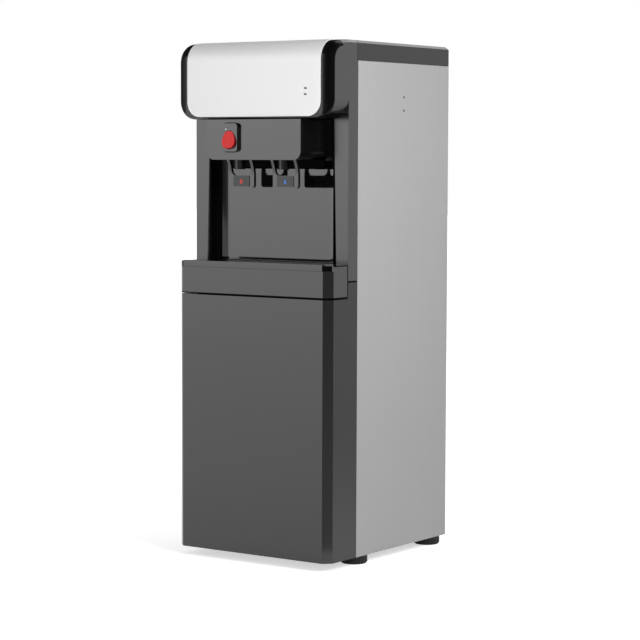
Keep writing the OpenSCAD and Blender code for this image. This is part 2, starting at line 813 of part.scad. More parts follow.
module tap_housing() {
    back = y_side - clear;
    z1 = z_head - clear;
    color("#636466") difference() {
        union() {
            difference() {
                along_y(y_house, back) housing_outline(0, z1);
                along_y(y_house + wall_t, back + 1) housing_outline(wall_t, z1 + 1);
            }
            // The bridge that the button's spring stands on
            for (s = [-1, 1]) translate([boss_x + s * (cup_x + 1), 0, 0])
                box([-1, y_house + 1, cup_z - 6], [1, cup_y + 1.5, cup_z + 6]);
            box([boss_x - cup_x - 2, cup_y, cup_z - 6], [boss_x + cup_x + 2, cup_y + 1.5, cup_z + 6]);
        }
        along_y(y_house - 1, y_house + wall_t + 3) egg(move_gap);
        for (s = [-1, 1]) translate([s * tap_x, tap_y, z_house - 1]) cylinder(h = wall_t + 2, r = nozzle_r + move_gap);
        for (s = [-1, 1], a = [-1, 1]) box([s * tap_x + a * (x_arm + arm_w / 2) - arm_w / 2 - move_gap, slot_y0, z_house - 1],
            [s * tap_x + a * (x_arm + arm_w / 2) + arm_w / 2 + move_gap, slot_y1, z_house + wall_t + 1]);
    }
}

// The overhang's outline, drawn in X and Z
module housing_outline(inset, z1) {
    x = x_house - inset;
    r = housing_r - inset;
    z0 = z_house + inset;
    translate([-x + r, z0]) square([2 * (x - r), z1 - z0]);
    translate([-x, z0 + r]) square([2 * x, z1 - z0 - r]);
    for (s = [-1, 1]) translate([s * (x - r), z0 + r]) circle(r);
}

// Safety button

module button_bezel() {
    w0 = boss_w / 2;
    w1 = w0 - boss_lean;
    h0 = boss_h / 2;
    h1 = h0 - boss_lean * 0.8;
    color("#2a2b2c") difference() {
        intersection() {
            translate([boss_x, 0, boss_z]) along_y(y_boss, y_house) round_rect(boss_w, boss_h, boss_r);
            translate([boss_x, 0, 0]) linear_extrude(z_top)
                polygon([[-w0, y_house], [-w1, y_boss], [w1, y_boss], [w0, y_house]]);
            along_x(boss_x - boss_w, boss_x + boss_w) polygon([[y_house, boss_z - h0],
                [y_boss, boss_z - h1], [y_boss, boss_z + h1], [y_house, boss_z + h0]]);
        }
        along_y(y_boss - 1, y_house + 1) egg(move_gap);
        rod_x(button_pivot_y, button_pivot_z, boss_x - 12, boss_x + 12, trunnion_r + fit);
        rod_y(lamp_x, lamp_z, y_boss - 1, y_boss + 4, lamp_r + 0.1);
    }
}

module safety_button() {
    reach = button_pivot_z - button_z0;
    tip = y_boss - button_out;
    back = y_house + wall_t;
    color("#d22a26") union() {
        intersection() {
            along_y(tip - 1, back) egg(0);
            along_x(boss_x - 20, boss_x + 20) polygon([[y_boss, button_z1 + 1], [tip, button_z0],
                [tip, button_z0 - 1], [back, button_z0 - 1], [back, button_z1 + 1]]);
            union() {
                rod_x(button_pivot_y, button_pivot_z, boss_x - 20, boss_x + 20, reach, $fn = 96);
                box([boss_x - 20, tip - 1, button_pivot_z], [boss_x + 20, back, button_z1 + 1]);
            }
        }
        rod_x(button_pivot_y, button_pivot_z, boss_x - 11.5, boss_x + 11.5, trunnion_r);
    }
}

// Taps and levers

module tap_body(x) {
    z1 = bridge_z;
    color("#0d0d0e") difference() {
        union() {
            translate([x, tap_y, z_nozzle]) cylinder(h = z_house + 1 - z_nozzle, r1 = nozzle_r - 0.3, r2 = nozzle_r);
            translate([x, tap_y, z_house]) cylinder(h = z1 + 2 - z_house, r = nozzle_r);
            box([x - 15, tap_y - 8, z_house + wall_t + clear], [x + 15, tap_y + 8, z_house + wall_t + 3]);
            box([x - 7, tap_y - 4, z1], [x + 7, valve_y1, z1 + 9]);
            rod_y(x, bar_z, valve_y0, valve_y1, valve_r);
            rod_y(x, bar_z, valve_y1 - 1, barb_y, 4);
            box([x - 5, pivot_y - 4.5, z1 + 8], [x + 5, pivot_y + 4.5, pivot_z + 4.5]);
        }
        translate([x, tap_y, z_nozzle - 1]) cylinder(h = z1 + 4 - z_nozzle, r = 4);
        rod_y(x, z1 + 4.5, tap_y, valve_y0 + 5, 2.5);
        translate([x, valve_y0 + 5, bar_z]) cylinder(h = z1 + 6 - bar_z, r = 1.4);
        rod_y(x, bar_z, valve_y0 - 1, valve_y0 + 4, stem_r + fit);
        rod_y(x, bar_z, valve_y0 + 3.5, seat_y, 3.8);
        rod_y(x, bar_z, seat_y, valve_y1 - 2, 5.8);
        rod_y(x, bar_z, valve_y1 - 4, barb_y + 1, 2.5);
        rod_x(pivot_y, pivot_z, x - 6, x + 6, pin_r + fit);
    }
}

module lever_pins() {
    color("silver") for (s = [-1, 1])
        rod_x(pivot_y, pivot_z, s * tap_x - lever_w / 2 - 1, s * tap_x + lever_w / 2 + 1, pin_r);
}

// The face of a lever, drawn in X and Z about its own middle
module lever_outline() {
    z_pad = z_lever + pad_h;
    r = 5;
    hole_r = 9;
    difference() {
        union() {
            translate([-lever_w / 2, z_lever + r]) square([lever_w, pivot_z - z_lever - r]);
            translate([-lever_w / 2 + r, z_lever]) square([lever_w - 2 * r, 2 * r]);
            for (s = [-1, 1]) translate([s * (lever_w / 2 - r), z_lever + r]) circle(r);
        }
        translate([-x_arm, z_pad + hole_r]) square([2 * x_arm, pivot_z]);
        translate([-x_arm + hole_r, z_pad]) square([2 * (x_arm - hole_r), pivot_z]);
        for (s = [-1, 1]) translate([s * (x_arm - hole_r), z_pad + hole_r]) circle(hole_r);
    }
}

// How far forward a lever's arms are at a height, as they curve up from the pad
function lean_at(z) = arm_lean * pow(min(1, (z - z_bend) / (z_house - z_bend)), 2);

module lever_side() {
    heights = [for (i = [0 : bend_steps]) z_bend + i * (z_house - z_bend) / bend_steps];
    polygon(concat([[lever_y1, z_lever - 1], [lever_y0, z_lever - 1]],
        [for (z = heights) [lever_y0 - lean_at(z), z]], [[arm_y0, pivot_z], [arm_y1, pivot_z]],
        [for (i = [0 : bend_steps]) [lever_y1 - lean_at(heights[bend_steps - i]), heights[bend_steps - i]]]));
}

module lever(x) {
    color("#26282a") translate([x, 0, 0]) difference() {
        union() {
            intersection() {
                along_y(arm_y0 - 1, lever_y1 + 1) lever_outline();
                along_x(-lever_w / 2 - 1, lever_w / 2 + 1) lever_side();
            }
            for (s = [-1, 1]) rod_x(pivot_y, pivot_z, s > 0 ? x_arm : -lever_w / 2, s > 0 ? lever_w / 2 : -x_arm, hub_r);
            // The lugs that carry the bar behind the arms
            for (s = [-1, 1]) box([s > 0 ? x_arm : -lever_w / 2, arm_y1 - 1, bar_z - bar_r],
                [s > 0 ? lever_w / 2 : -x_arm, bar_y1, bar_z + bar_r + 3]);
            rod_x(bar_y0 + bar_r, bar_z, -x_arm - 1, x_arm + 1, bar_r);
            box([-lever_w / 2, lever_y0 - 2, z_lever + 1.2], [lever_w / 2, lever_y0 + 1, z_lever + 2.6]);
        }
        rod_x(pivot_y, pivot_z, -lever_w, lever_w, pin_r + fit);
    }
}

// The label plate on a lever's pad, with its raised drop
module label_plate(x, tint) {
    z0 = z_lever + 2.8;
    zc = z_lever + pad_h / 2 + 0.5;
    y0 = lever_y0 - plate_t;
    color("#8a8d90") translate([x, 0, 0]) along_y(y0, lever_y0)
        translate([0, (z0 + z_lever + pad_h - 0.4) / 2]) round_rect(plate_w, pad_h - 3.2, 1.5);
    color(tint) translate([x, 0, zc]) along_y(y0 - mark_t, y0) union() {
        translate([0, -1.2]) circle(3.2);
        polygon([[-3.02, 0], [3.02, 0], [0.3, 5.2], [-0.3, 5.2]]);
    }
}

module stem(x) {
    color("ivory") union() {
        rod_y(x, bar_z, bar_y1 + clear, knob_y1, 4);
        rod_y(x, bar_z, knob_y1 - 0.5, seat_y + 4, stem_r);
        rod_y(x, bar_z, seat_y + clear, seat_y + 2.3, 5.2);
    }
}

module valve_spring(x) {
    color("silver") translate([x, knob_y1 + 0.2, bar_z]) rotate([-90, 0, 0])
        spring(3.55, 0.4, valve_y0 - knob_y1 - 0.4, 4);
}

module button_spring() {
    color("silver") translate([boss_x, y_house + wall_t + 0.2, cup_z]) rotate([-90, 0, 0])
        spring(3, 0.35, cup_y - y_house - wall_t - 0.4, 4);
}

// Inside: shelves, tanks and water path

module shelf(z, holes) {
    difference() {
        union() {
            box([-x_in, pan_y0 + 5, z], [x_in, y_cover - sheet_t - clear, z + sheet_t]);
            for (s = [-1, 1]) box([s > 0 ? x_in - sheet_t : -x_in, pan_y0 + 5, z - 14],
                [s > 0 ? x_in : -x_in + sheet_t, y_cover - sheet_t - clear, z + sheet_t]);
        }
        for (h = holes) translate([h[0], h[1], z - 1]) cylinder(h = 4, r = h[2]);
    }
}

module inner_shelves() {
    color("gray") {
        shelf(z_tank, [[suction_x, suction_y, 9], [feed_x, feed_y, 9], [-tap_x, y_side + 13, 7], [0, foam_y, 8]]);
        shelf(z_mid, [[suction_x, suction_y, 9], [inlet_x, feed_y, 9], [hot_x, hot_y, 7]]);
    }
}

// A drawn tank with domed ends, as a solid of revolution
module tank_shape(r, h, dome) {
    rotate_extrude($fn = 72) intersection() {
        union() {
            translate([0, dome]) square([r, h - 2 * dome]);
            for (z = [dome, h - dome]) translate([0, z]) intersection() {
                scale_dome(r, dome);
                translate([0, -dome]) square([r, 2 * dome]);
            }
        }
        square([r, h]);
    }
}

// The flat arc of a tank's end
module scale_dome(r, dome) {
    big = (r * r + dome * dome) / (2 * dome);
    intersection() {
        translate([0, dome - big]) circle(big, $fn = 160);
        translate([0, big - dome]) circle(big, $fn = 160);
    }
}

module insulation() {
    r = hot_r + jacket_t;
    color("white") difference() {
        translate([0, foam_y, z_foam + foam_h / 2]) linear_extrude(foam_h, center = true)
            round_rect(foam_w, foam_w, 14);
        translate([0, foam_y, z_foam + foam_floor]) cylinder(h = foam_h, r = cavity_r);
        translate([0, foam_y, z_foam - 1]) cylinder(h = foam_h, r = 6.5);
    }
    color("white") translate([0, foam_y, z_foam + foam_h + clear])
        linear_extrude(lid_h) round_rect(foam_w, foam_w, 14);
    color("#3a3a3c") translate([hot_x, hot_y, z_jacket]) difference() {
        cylinder(h = hot_h + 24, r = r);
        translate([0, 0, 12]) cylinder(h = hot_h + 24, r = hot_r + clear);
        translate([0, 0, -1]) cylinder(h = 20, r = 5.5);
    }
}

// A drawn tank made hollow
module tank_shell(r, h, dome, wall) {
    difference() {
        tank_shape(r, h, dome);
        translate([0, 0, wall]) tank_shape(r - wall, h - 2 * wall, dome - wall);
    }
}

module cold_tank() {
    color("silver") translate([0, foam_y, z_foam + foam_floor + clear]) union() {
        tank_shell(cold_r, cold_h, 22, sheet_t);
        translate([0, 0, -foam_floor - clear - 8]) cylinder(h = foam_floor + 12, r = 6);
    }
}

module evaporator_coil() {
    r = cold_r + 4.4;
    turns = 7;
    steps = 24;
    pitch = 13;
    z0 = z_foam + foam_floor + 40;
    color("peru") tube([for (i = [0 : turns * steps]) [r * cos(i * 360 / steps),
        foam_y + r * sin(i * 360 / steps), z0 + i * pitch / steps]], 3.4, 6);
}

module hot_tank() {
    color("silver") translate([hot_x, hot_y, z_jacket + 12 + clear]) union() {
        tank_shell(hot_r, hot_h, 16, sheet_t);
        translate([0, -20, hot_h - 10]) cylinder(h = 24, r = 5);
        translate([0, 0, -12 - clear - 8]) cylinder(h = 24, r = 5);
        translate([0, 22, hot_h - 12]) cylinder(h = 20, r = 14);
    }
}

module filter_cartridge(i) {
    color(["#f2f2f0", "#dfe6ec", "#e9e4da"][i + 1]) translate([i * filter_gap, filter_y, z_filter]) union() {
        rotate_extrude($fn = 72) union() {
            translate([0, 6]) square([filter_r, filter_h - 22]);
            square([filter_r - 6, filter_h - 10]);
            translate([filter_r - 6, 6]) circle(6);
            polygon([[0, filter_h - 16], [filter_r, filter_h - 16], [neck_r, filter_h], [0, filter_h]]);
            translate([0, filter_h - 1]) square([neck_r, neck_h - 6]);
            translate([0, filter_h]) square([14, neck_h - 1]);
        }
        for (a = [0 : 30 : 330]) rotate([0, 0, a]) translate([filter_r - 0.6, 0, 20]) cylinder(h = 50, r = 1.4, $fn = 16);
    }
}

module filter_head() {
    z0 = z_neck + 3;
    cup_r = neck_r + 8;
    color("#d8d8d6") difference() {
        union() {
            for (i = [-1 : 1]) translate([i * filter_gap, filter_y, z0]) cylinder(h = 34, r = cup_r);
            box([-filter_gap, filter_y - 10, z0 + 12], [filter_gap, filter_y + 10, z0 + 34]);
            box([-filter_gap - 20, bulk_y - clear - 3, z0 + 4], [filter_gap + 20, bulk_y - clear, z0 + 38]);
            for (i = [-1 : 1]) box([i * filter_gap - 9, filter_y, z0 + 10], [i * filter_gap + 9, bulk_y - clear - 1, z0 + 26]);
        }
        for (i = [-1 : 1]) translate([i * filter_gap, filter_y, z0 - 1]) cylinder(h = 22, r = neck_r + fit);
        for (i = [-1 : 1]) translate([i * filter_gap, filter_y, z0 - 1]) cylinder(h = 29, r = 4);
        rod_x(filter_y, z0 + 26, -filter_gap, filter_gap, 3);
    }
}

module solenoid_valve() {
    y1 = solenoid_y0 + 44;
    color("ivory") union() {
        rod_y(inlet_x, z_service, solenoid_y0, y1, 9);
        translate([inlet_x, y1 - 22, z_service]) cylinder(h = 34, r = 12);
        translate([inlet_x, y1 - 22, z_service + 8]) linear_extrude(22) square([32, 28], center = true);
        translate([inlet_x, y1 - 22, z_service + 34]) cylinder(h = 8, r = 5);
    }
}

board_z = z_mid + sheet_t + clear;

module control_board() {
    x0 = 40;
    y0 = 0;
    color("darkgreen") union() {
        for (dx = [6, 104], dy = [6, 84]) translate([x0 + dx, y0 + dy, board_z]) cylinder(h = 9, r = 3);
        box([x0, y0, board_z + 8], [x0 + 110, y0 + 90, board_z + 9.6]);
        box([x0 + 12, y0 + 14, board_z + 9], [x0 + 46, y0 + 50, board_z + 38]);
        box([x0 + 60, y0 + 12, board_z + 9], [x0 + 96, y0 + 30, board_z + 24]);
        for (i = [0 : 2]) translate([x0 + 64 + i * 14, y0 + 50, board_z + 9]) cylinder(h = 22, r = 5);
        box([x0 + 14, y0 + 62, board_z + 9], [x0 + 50, y0 + 76, board_z + 21]);
    }
}

module water_tubes() {
    cold_y = foam_y - foam_w / 2 - clear;
    z_hot = z_jacket + 12 + clear + hot_h + 14.1;
    z_ports = z_neck + 37.1;
    color("#e8e4dc") {
        // Cold tap to the cold tank
        tube([[tap_x, barb_y + 0.1, bar_z], [tap_x, cold_y, bar_z]], 5, 12);
        // Hot tap to the top of the hot tank
        tube(route([[-tap_x, barb_y + 0.1, bar_z], [-tap_x, y_side + 13, bar_z],
            [-tap_x, y_side + 13, z_tank - 20], [hot_x, hot_y - 20, z_tank - 20], [hot_x, hot_y - 20, z_hot]], 7), 5, 12);
        // Inlet valve to the filter head
        tube(route([[inlet_x, solenoid_y0 - 0.1, z_service], [inlet_x, feed_y, z_service], [inlet_x, feed_y, z_port],
            [-port_x, feed_y, z_port], [-port_x, filter_y, z_port], [-port_x, filter_y, z_ports]], 7), 3.2);
        // Filter head to the cold tank
        tube(route([[port_x, filter_y, z_ports], [port_x, filter_y, z_port], [port_x, feed_y, z_port],
            [port_x, feed_y, z_port + 22], [feed_x, feed_y, z_port + 22], [feed_x, feed_y, z_foam + 190],
            [-foam_w / 2 - clear, feed_y, z_foam + 190]], 7), 3.2);
        // Hot tank to the drain
        tube(route([[drain_x, spout_y0 - 0.1, z_service], [drain_x, hot_y, z_service],
            [drain_x, hot_y, z_jacket - 8.1]], 10), 4, 8);
    }
}

// Cooling circuit

module compressor() {
    color("#17181a") union() {
        difference() {
            translate([comp_x, comp_y, z_leg + 1.5]) linear_extrude(3, center = true)
                round_rect(2 * leg_x + 32, 2 * leg_y + 32, 14);
            for (p = leg_spots) translate([p[0], p[1], z_leg - 2]) cylinder(h = 8, r = 5);
        }
        translate([comp_x, comp_y, z_leg + 2]) {
            tank_shell(comp_r, comp_h, 30, comp_wall);
            translate([0, 0, comp_h * 0.55]) cylinder(h = 5, r = comp_r + 2.5);
            translate([-40, 30, comp_h - 34]) cylinder(h = 40, r = 4);
            translate([30, 42, comp_h - 40]) cylinder(h = 40, r = 4);
        }
    }
    // The relay cover on its side
    color("#202020") difference() {
        box([comp_x + comp_r - 18, comp_y - 26, z_leg + 12], [comp_x + comp_r + 24, comp_y + 26, z_leg + 54]);
        translate([comp_x, comp_y, z_leg]) cylinder(h = 200, r = comp_r + clear);
    }
}

module grommets() {
    color("black") for (p = leg_spots) translate([p[0], p[1], z_low + sheet_t + clear]) difference() {
        union() {
            cylinder(h = grommet_h - clear, r = 10);
            cylinder(h = grommet_h + 6, r = 4.7);
        }
        translate([0, 0, -1]) cylinder(h = grommet_h + 8, r = 3 + clear);
    }
}

// The condenser's one unbroken tube, up and down the back
function coil_route() = concat(
    [for (i = [0 : coil_runs - 1]) let (z = coil_z1 - i * coil_pitch, s = i % 2 == 0 ? 1 : -1)
        each concat([[s * coil_x, coil_y, z], [-s * coil_x, coil_y, z]],
            i == coil_runs - 1 ? [] : [for (k = [1 : 5]) [-s * (coil_x + coil_pitch / 2 * sin(k * 30)),
                coil_y, z - coil_pitch / 2 * (1 - cos(k * 30))]])]);

module condenser_coil() {
    p = coil_route();
    head = [[tail_x, coil_y, z_tail], [tail_x, coil_y, coil_z1 - 10], [tail_x - 3, coil_y, coil_z1 - 3],
        [tail_x - 10, coil_y, coil_z1]];
    end = [[-tail_x + 10, coil_y, coil_z0], [-tail_x + 3, coil_y, coil_z0 - 3], [-tail_x, coil_y, coil_z0 - 10],
        [-tail_x, coil_y, z_tail]];
    color("#1d1e20") tube(concat(head, p, end), coil_r, 8);
}

clip_spots = [for (s = [-1, 1], i = [2, coil_runs - 3]) [s * (coil_x - 1.5), coil_z1 - i * coil_pitch]];

// The clips that hold the condenser off the rear cover
module condenser_clips() {
    color("silver") for (p = clip_spots) difference() {
        union() {
            box([p[0] - 1.4, y_cover + 0.1, p[1] - 8], [p[0] + 1.4, coil_y + 3, p[1] + 8]);
            box([p[0] - 1.4, y_cover + 0.1, p[1] + 6], [p[0] + 1.4, y_cover + 1.6, p[1] + 16]);
        }
        rod_x(coil_y, p[1], p[0] - 5, p[0] + 5, coil_r + 0.2);
        translate([0, 0, p[1]]) box([p[0] - 5, coil_y, -coil_r - 0.2], [p[0] + 5, coil_y + 5, coil_r + 0.2]);
    }
}

module condenser_wires() {
    count = 26;
    step = 2 * (coil_x - 6) / (count - 1);
    off = coil_r + wire_r + 0.15;
    color("#1d1e20") for (i = [0 : count - 1], s = [-1, 1])
        translate([-coil_x + 6 + i * step, coil_y + s * off, coil_z0 - 12])
            cylinder(h = coil_z1 - coil_z0 + 24, r = wire_r, $fn = 6);
    condenser_clips();
}

module refrigerant_lines() {
    top = z_leg + 2 + comp_h;
    z_turn = dryer_z + dryer_h + 18;
    color("peru") {
        // The filter dryer
        translate([dryer_x, dryer_y, dryer_z]) rotate_extrude() polygon([[0, 0], [3.4, 0], [3.4, 12],
            [11, 24], [11, dryer_h - 24], [3.4, dryer_h - 12], [3.4, dryer_h], [0, dryer_h]]);
        // Compressor to condenser
        tube(route([[comp_x + 30, comp_y + 42, top + 0.1], [comp_x + 30, comp_y + 42, top + 14],
            [comp_x + 30, coil_y, top + 14], [tail_x, coil_y, top + 14], [tail_x, coil_y, z_tail - 0.1]], 8), coil_r);
        // Condenser to dryer
        tube(route([[-tail_x, coil_y, z_tail - 0.1], [-tail_x, coil_y, z_turn], [-tail_x, dryer_y, z_turn],
            [dryer_x, dryer_y, z_turn], [dryer_x, dryer_y, dryer_z + dryer_h + 0.1]], 8), coil_r);
        // Dryer to evaporator
        tube(route([[dryer_x, dryer_y, dryer_z - 0.1], [dryer_x, dryer_y, dryer_z - 20],
            [suction_x - 5, dryer_y, dryer_z - 20], [suction_x - 5, suction_y - 1, dryer_z],
            [suction_x - 5, suction_y - 1, z_foam + 60], [suction_x - 5, foam_y, z_foam + 60],
            [-foam_w / 2 - clear, foam_y, z_foam + 60]], 7), 1.6);
        // Evaporator back to the compressor
        tube(route([[-foam_w / 2 - clear, foam_y + 30, z_foam + 120], [suction_x + 3, foam_y + 30, z_foam + 120],
            [suction_x + 3, suction_y, z_foam + 120], [suction_x + 3, suction_y, top + 20],
            [comp_x - 40, comp_y + 30, top + 20], [comp_x - 40, comp_y + 30, top + 6.1]], 8), line_r);
    }
}

// Rear service zone

module inlet_fitting() {
    y0 = y_cover - sheet_t - 10;
    color("white") {
        // The outer half, which takes the tube
        difference() {
            union() {
                along_y(y_cover + 0.1, y_cover + 5) translate([inlet_x, z_service]) circle(12, $fn = 6);
                rod_y(inlet_x, z_service, y_cover + 4.5, y_cover + 14, 8.6);
                rod_y(inlet_x, z_service, y_cover + 13.5, y_cover + 17, 7);
            }
            rod_y(inlet_x, z_service, y_cover - 1, y_cover + 20, inlet_r);
        }
        // The inner half with its nut
        difference() {
            union() {
                rod_y(inlet_x, z_service, y0, y_cover, 8.6);
                along_y(y_cover - sheet_t - 5, y_cover - sheet_t - 0.1) translate([inlet_x, z_service]) circle(12, $fn = 6);
            }
            rod_y(inlet_x, z_service, y0 - 1, y_cover + 2, 2);
        }
    }
}

module drain_spout() {
    color("#dcdcdc") difference() {
        union() {
            rod_y(drain_x, z_service, spout_y0, y_cover + 14, 8.6);
            rod_y(drain_x, z_service, y_cover + 0.1, y_cover + 3, 13);
            along_y(y_cover - sheet_t - 5, y_cover - sheet_t - 0.1) translate([drain_x, z_service]) circle(12, $fn = 6);
        }
        rod_y(drain_x, z_service, y_cover - 30, y_cover + 20, 5);
    }
}

module drain_cap() {
    color("#1a1a1a") difference() {
        rod_y(drain_x, z_service, y_cover + 3 + clear, y_cover + 17, 11.5);
        rod_y(drain_x, z_service, y_cover, y_cover + 14 + clear, 8.6 + fit);
        for (a = [0 : 30 : 330]) translate([drain_x + 12.3 * cos(a), 0, z_service + 12.3 * sin(a)])
            rod_y(0, 0, y_cover, y_cover + 20, 1.6, $fn = 16);
    }
}

module power_inlet() {
    color("#141414") translate([power_x, 0, z_service]) difference() {
        union() {
            along_y(y_cover + 0.1, y_cover + 3) round_rect(50, 24, 6);
            along_y(y_cover - 24, y_cover + 1) square([27, 20], center = true);
        }
        along_y(y_cover - 17, y_cover + 4) square([23.6, 16.6], center = true);
        for (s = [-1, 1]) rod_y(s * 20, 0, y_cover - 1, y_cover + 4, 1.7);
    }
    color("silver") for (p = [[0, 2], [-7, -2], [7, -2]]) translate([power_x + p[0], 0, z_service + p[1]])
        along_y(y_cover - 16.9, y_cover - 5) square([2, 4], center = true);
}

rocker_tilt = 8;
rocker_y = y_cover - 4;

module switch_frame() {
    color("#141414") translate([switch_x, 0, z_service]) difference() {
        union() {
            along_y(y_cover + 0.1, y_cover + 2.5) round_rect(32, 50, 3);
            along_y(y_cover - 22, y_cover + 1) square([26, 44], center = true);
        }
        for (s = [-1, 1]) along_y(y_cover - 18, y_cover + 3) translate([0, s * 11]) square([20, 20.4], center = true);
        for (s = [-1, 1]) rod_x(rocker_y, s * 11, -12, 12, 1.5 + fit);
    }
}

// A rocker that rests tilted on its lower stop
module rocker(dz, tint) {
    color(tint) translate([switch_x, rocker_y, z_service + dz]) rotate([rocker_tilt, 0, 0]) union() {
        difference() {
            rod_x(0, 0, -9.6, 9.6, 9.6);
            translate([0, -12, 0]) cube([30, 12, 30], center = true);
            translate([0, 25.6 + 4, 0]) rod_x(0, 0, -12, 12, 24);
            translate([0, 18, 0]) cube([30, 20, 30], center = true);
        }
        rod_x(0, 0, -11.6, 11.6, 1.5);
    }
}

module hot_rocker() {
    rocker(-11, "#b3231f");
}

module cold_rocker() {
    rocker(11, "#1f5fa8");
}

module screws() {
    color("#2a2a2a") {
        for (s = [-1, 1], z = panel_screw_z) {
            rod_x(panel_screw_y, z, s > 0 ? x_side - sheet_t : -x_side, s > 0 ? x_side : -x_side + sheet_t, 2.2);
            rod_x(panel_screw_y, z, s > 0 ? x_side - 12 : -x_side + 0.5, s > 0 ? x_side - 0.5 : -x_side + 12, 1.5);
        }
        for (p = cover_screws) {
            rod_y(p[0], p[1], y_cover + 0.1, y_cover + 2.4, 4);
            rod_y(p[0], p[1], y_cover - 8, y_cover + 1, 1.9);
        }
    }
}

base_pan();
side_panel_left();
side_panel_right();
rear_cover();
top_cover();
front_panel();
front_bulkhead();
inner_shelves();
upper_frame();
head_bezel();
head_fascia();
signal_lenses();
alcove_liner();
tap_housing();
button_bezel();
tray_housing();
tap_body(-tap_x);  // hot_tap_body
tap_body(tap_x);  // cold_tap_body
lever_pins();
lever(-tap_x);  // hot_lever
lever(tap_x);  // cold_lever
label_plate(-tap_x, "#c9302c");  // hot_label_plate
label_plate(tap_x, "#2f6fc0");  // cold_label_plate
stem(-tap_x);  // hot_stem
stem(tap_x);  // cold_stem
valve_spring(-tap_x);  // hot_spring
valve_spring(tap_x);  // cold_spring
safety_button();
button_spring();
drip_tray();
tray_lip();
drip_grille();
cold_tank();
evaporator_coil();
insulation();
hot_tank();
compressor();
grommets();
condenser_coil();
condenser_wires();
refrigerant_lines();
filter_head();
filter_cartridge(-1);  // sediment_filter
filter_cartridge(0);  // carbon_filter
filter_cartridge(1);  // membrane_filter
water_tubes();
solenoid_valve();
control_board();
inlet_fitting();
drain_spout();
drain_cap();
power_inlet();
switch_frame();
hot_rocker();
cold_rocker();
screws();
foot(-1, foot_y0);  // foot_front_left
foot(1, foot_y0);  // foot_front_right
foot(-1, foot_y1);  // foot_rear_left
foot(1, foot_y1);  // foot_rear_right
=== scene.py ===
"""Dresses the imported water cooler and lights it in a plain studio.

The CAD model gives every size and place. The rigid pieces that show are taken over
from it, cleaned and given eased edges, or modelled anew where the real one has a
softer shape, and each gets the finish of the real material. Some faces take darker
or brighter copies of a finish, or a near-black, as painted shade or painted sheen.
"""
import json
import logging
import math
from collections.abc import Callable, Sequence
from dataclasses import dataclass, field, replace
from enum import Enum
from functools import cache

import bpy
from mathutils import Matrix, Vector


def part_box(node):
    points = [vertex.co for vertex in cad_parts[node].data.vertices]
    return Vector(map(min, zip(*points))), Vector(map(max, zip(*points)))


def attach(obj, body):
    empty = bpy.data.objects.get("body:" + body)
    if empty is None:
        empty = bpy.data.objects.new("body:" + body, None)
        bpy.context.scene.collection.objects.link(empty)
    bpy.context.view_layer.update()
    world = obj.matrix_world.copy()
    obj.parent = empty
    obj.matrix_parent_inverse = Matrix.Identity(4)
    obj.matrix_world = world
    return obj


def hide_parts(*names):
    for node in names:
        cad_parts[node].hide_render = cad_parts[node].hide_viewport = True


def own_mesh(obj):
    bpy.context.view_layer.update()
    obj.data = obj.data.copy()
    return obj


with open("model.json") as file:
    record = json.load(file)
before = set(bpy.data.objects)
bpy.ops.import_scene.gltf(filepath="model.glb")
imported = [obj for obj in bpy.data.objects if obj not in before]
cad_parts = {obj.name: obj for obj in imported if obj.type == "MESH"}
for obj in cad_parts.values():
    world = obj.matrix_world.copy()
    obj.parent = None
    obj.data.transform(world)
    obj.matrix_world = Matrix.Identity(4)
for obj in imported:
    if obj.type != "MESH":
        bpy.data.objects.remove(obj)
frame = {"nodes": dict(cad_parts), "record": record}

log = logging.getLogger("water_cooler")
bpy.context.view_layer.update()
MM = 0.001
# Share of a face's normal along an axis from which the face looks that way, or leans that way
LOOKS = 0.9
LEANS = 0.35

Point = tuple[float, float, float]
Colour = tuple[float, float, float]
Value = float | Sequence[float]
Piece = bpy.types.Object
Tree = bpy.types.NodeTree
Node = bpy.types.Node


def put(node: Node, **values: Value) -> Node:
    """Sets a node's inputs.

    Args:
        node: The node.
        **values: Its inputs by name.

    Returns:
        The node.
    """
    for label, value in values.items():
        node.inputs[label].default_value = value
    return node


def add(tree: Tree, kind: str, **values: Value) -> Node:
    """Adds a shader node of a kind, with its inputs set by name."""
    return put(tree.nodes.new(f"ShaderNode{kind}"), **values)


def new_range(tree: Tree, start: float, end: float, low: float = 0.0, high: float = 1.0) -> Node:
    """Adds a node that maps values from start to end onto those from low to high."""
    return add(tree, "MapRange", **{"From Min": start, "From Max": end, "To Min": low, "To Max": high})


def new_maths(tree: Tree, operation: str, kind: str = "Math") -> Node:
    """Adds a node that calculates.

    Args:
        tree: The nodes.
        operation: What it does.
        kind: Its type, for numbers or for vectors.

    Returns:
        The node.
    """
    node = add(tree, kind)
    node.operation = operation
    return node


def wire(tree: Tree, *links: tuple[Node, str | int, Node, str | int]) -> None:
    """Links nodes, each output to an input."""
    for source, output, target, entry in links:
        tree.links.new(source.outputs[output], target.inputs[entry])


def glowing(name: str, base: float) -> bpy.types.Material:
    """Makes a matt grey material whose white glow is still to be wired up.

    Args:
        name: Its name.
        base: Its grey.

    Returns:
        The material.
    """
    made = bpy.data.materials.new(name)
    made.use_nodes = True
    put(made.node_tree.nodes["Principled BSDF"], **{
        "Base Color": (base, base, base, 1.0), "Roughness": 0.9, "Specular IOR Level": 0.0,
        "Emission Color": (1.0, 1.0, 1.0, 1.0)})
    return made


def switch(mode: str) -> None:
    """Switches to edit mode or to object mode."""
    bpy.ops.object.mode_set(mode=mode)


class Element(Enum):
    """What edit mode selects, with its mode's name and where a mesh keeps it."""

    CORNERS = ("VERT", "vertices")
    EDGES = ("EDGE", "edges")
    FACES = ("FACE", "polygons")


class Heat(Enum):
    """The two waters."""

    HOT = "hot"
    COLD = "cold"


